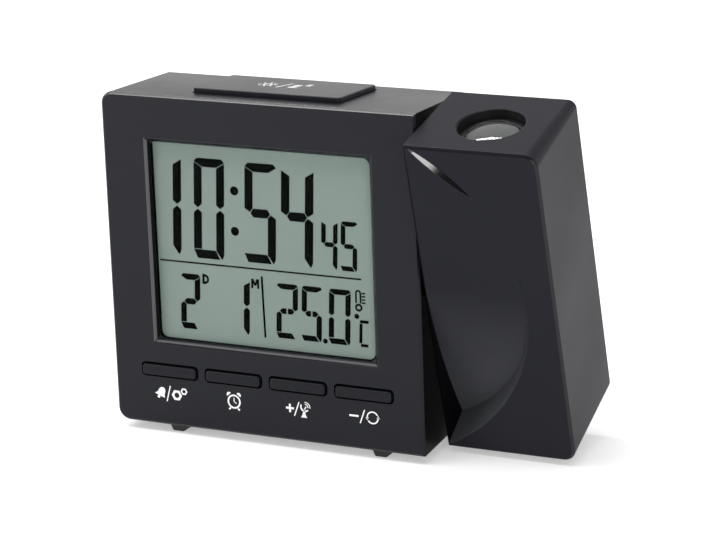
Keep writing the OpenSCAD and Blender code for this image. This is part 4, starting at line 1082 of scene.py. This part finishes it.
# %% Floor
bpy.ops.mesh.primitive_plane_add(size=6, location=(0, 0, 0))
floor = bpy.context.object
floor.name = "floor"
paper = bpy.data.materials.new("white_table")
paper.use_nodes = True
tree = paper.node_tree
shader = tree.nodes["Principled BSDF"]
shader.inputs["Base Color"].default_value = (0.8, 0.8, 0.8, 1)
shader.inputs["Roughness"].default_value = 0.9
shader.inputs["Specular IOR Level"].default_value = 0.1
shader.inputs["Emission Color"].default_value = (1, 1, 1, 1)
tree.links.new(ramp(tree, any_view(tree), 0, 0.36, 0, 1), shader.inputs["Emission Strength"])
floor.data.materials.append(paper)
print("floor is", round(floor.dimensions.x, 1), "m wide")

# %% World
world = bpy.data.worlds.new("studio")
world.use_nodes = True
bpy.context.scene.world = world
tree = world.node_tree
ground = tree.nodes["Background"]
way = coordinates(tree, "Generated")
height = ramp(tree, way["Z"], 1.22, 0.75, 0.2, 0.7)
depth = ramp(tree, way["Y"], 0.08, 1.0, -0.75, -0.2)
level = add_node(tree, "ShaderNodeMix", data_type="FLOAT")
level.inputs["A"].default_value = 0.55
tree.links.new(any_view(tree), level.inputs["Factor"])
tree.links.new(maths(tree, "MULTIPLY", height, depth), level.inputs["B"])
seen = add_node(tree, "ShaderNodeLightPath").outputs
strength = maths(tree, "MAXIMUM", level.outputs["Result"], seen["Is Camera Ray"])
tree.links.new(strength, ground.inputs["Strength"])
ground.inputs["Color"].default_value = (1, 1, 1, 1)
print("world nodes:", len(tree.nodes))

# %% [markdown]
# Five soft lamps add to the surround: a wide one overhead, a long strip beside it for the front's
# edges, a thin strip behind that shows in the lens, and two low ones in front, left and right, for
# the upright faces. The camera does not see them, only what they light and their reflections.

# %% Lamps
def softbox(name, place, aim, size, watts):
    """An area lamp turned to a point on the clock."""
    light = bpy.data.lights.new(name, "AREA")
    light.shape = "RECTANGLE"
    light.size, light.size_y = size
    light.energy = watts
    lamp = in_scene(name, light)
    lamp.location = place
    lamp.rotation_euler = (Vector(aim) - Vector(place)).to_track_quat("-Z", "Y").to_euler()
    lamp.visible_camera = False


softbox("top_softbox", (0, -0.1, 1.0), (0, 0, 0.05), (1.3, 0.9), 4)
softbox("strip_softbox", (-0.48, -0.35, 0.95), (-0.2, -0.35, 0.05), (0.24, 1.3), 4.8)
softbox("back_strip", (-0.45, 0.408, 0.95), (-0.45, 0, 0.05), (1.0, 0.07), 3.6)
softbox("key_softbox", (0.74, -0.94, 0.175), (0.04, -0.01, 0.07), (0.48, 0.54), 6)
softbox("front_softbox", (-0.9, -0.95, 0.16), (0, 0, 0.05), (0.7, 0.6), 5)

# %% [markdown]
# The camera stands well back, high and to the right, with a long lens, so that upright edges stay
# nearly parallel and the front, the top and the arm's side all show.

# %% Camera
optics = bpy.data.cameras.new("front_camera")
optics.sensor_width = 36
optics.lens = 146.54
optics.clip_start = 0.01
camera = in_scene("front_camera", optics)
camera.location = (0.32522, -0.65361, 0.25021)
camera.rotation_euler = [radians(a) for a in (74.3089, 1.8957, 25.7881)]
bpy.context.scene.camera = camera
bpy.context.scene.view_settings.view_transform = "Standard"
print("camera lens:", optics.lens, "mm")
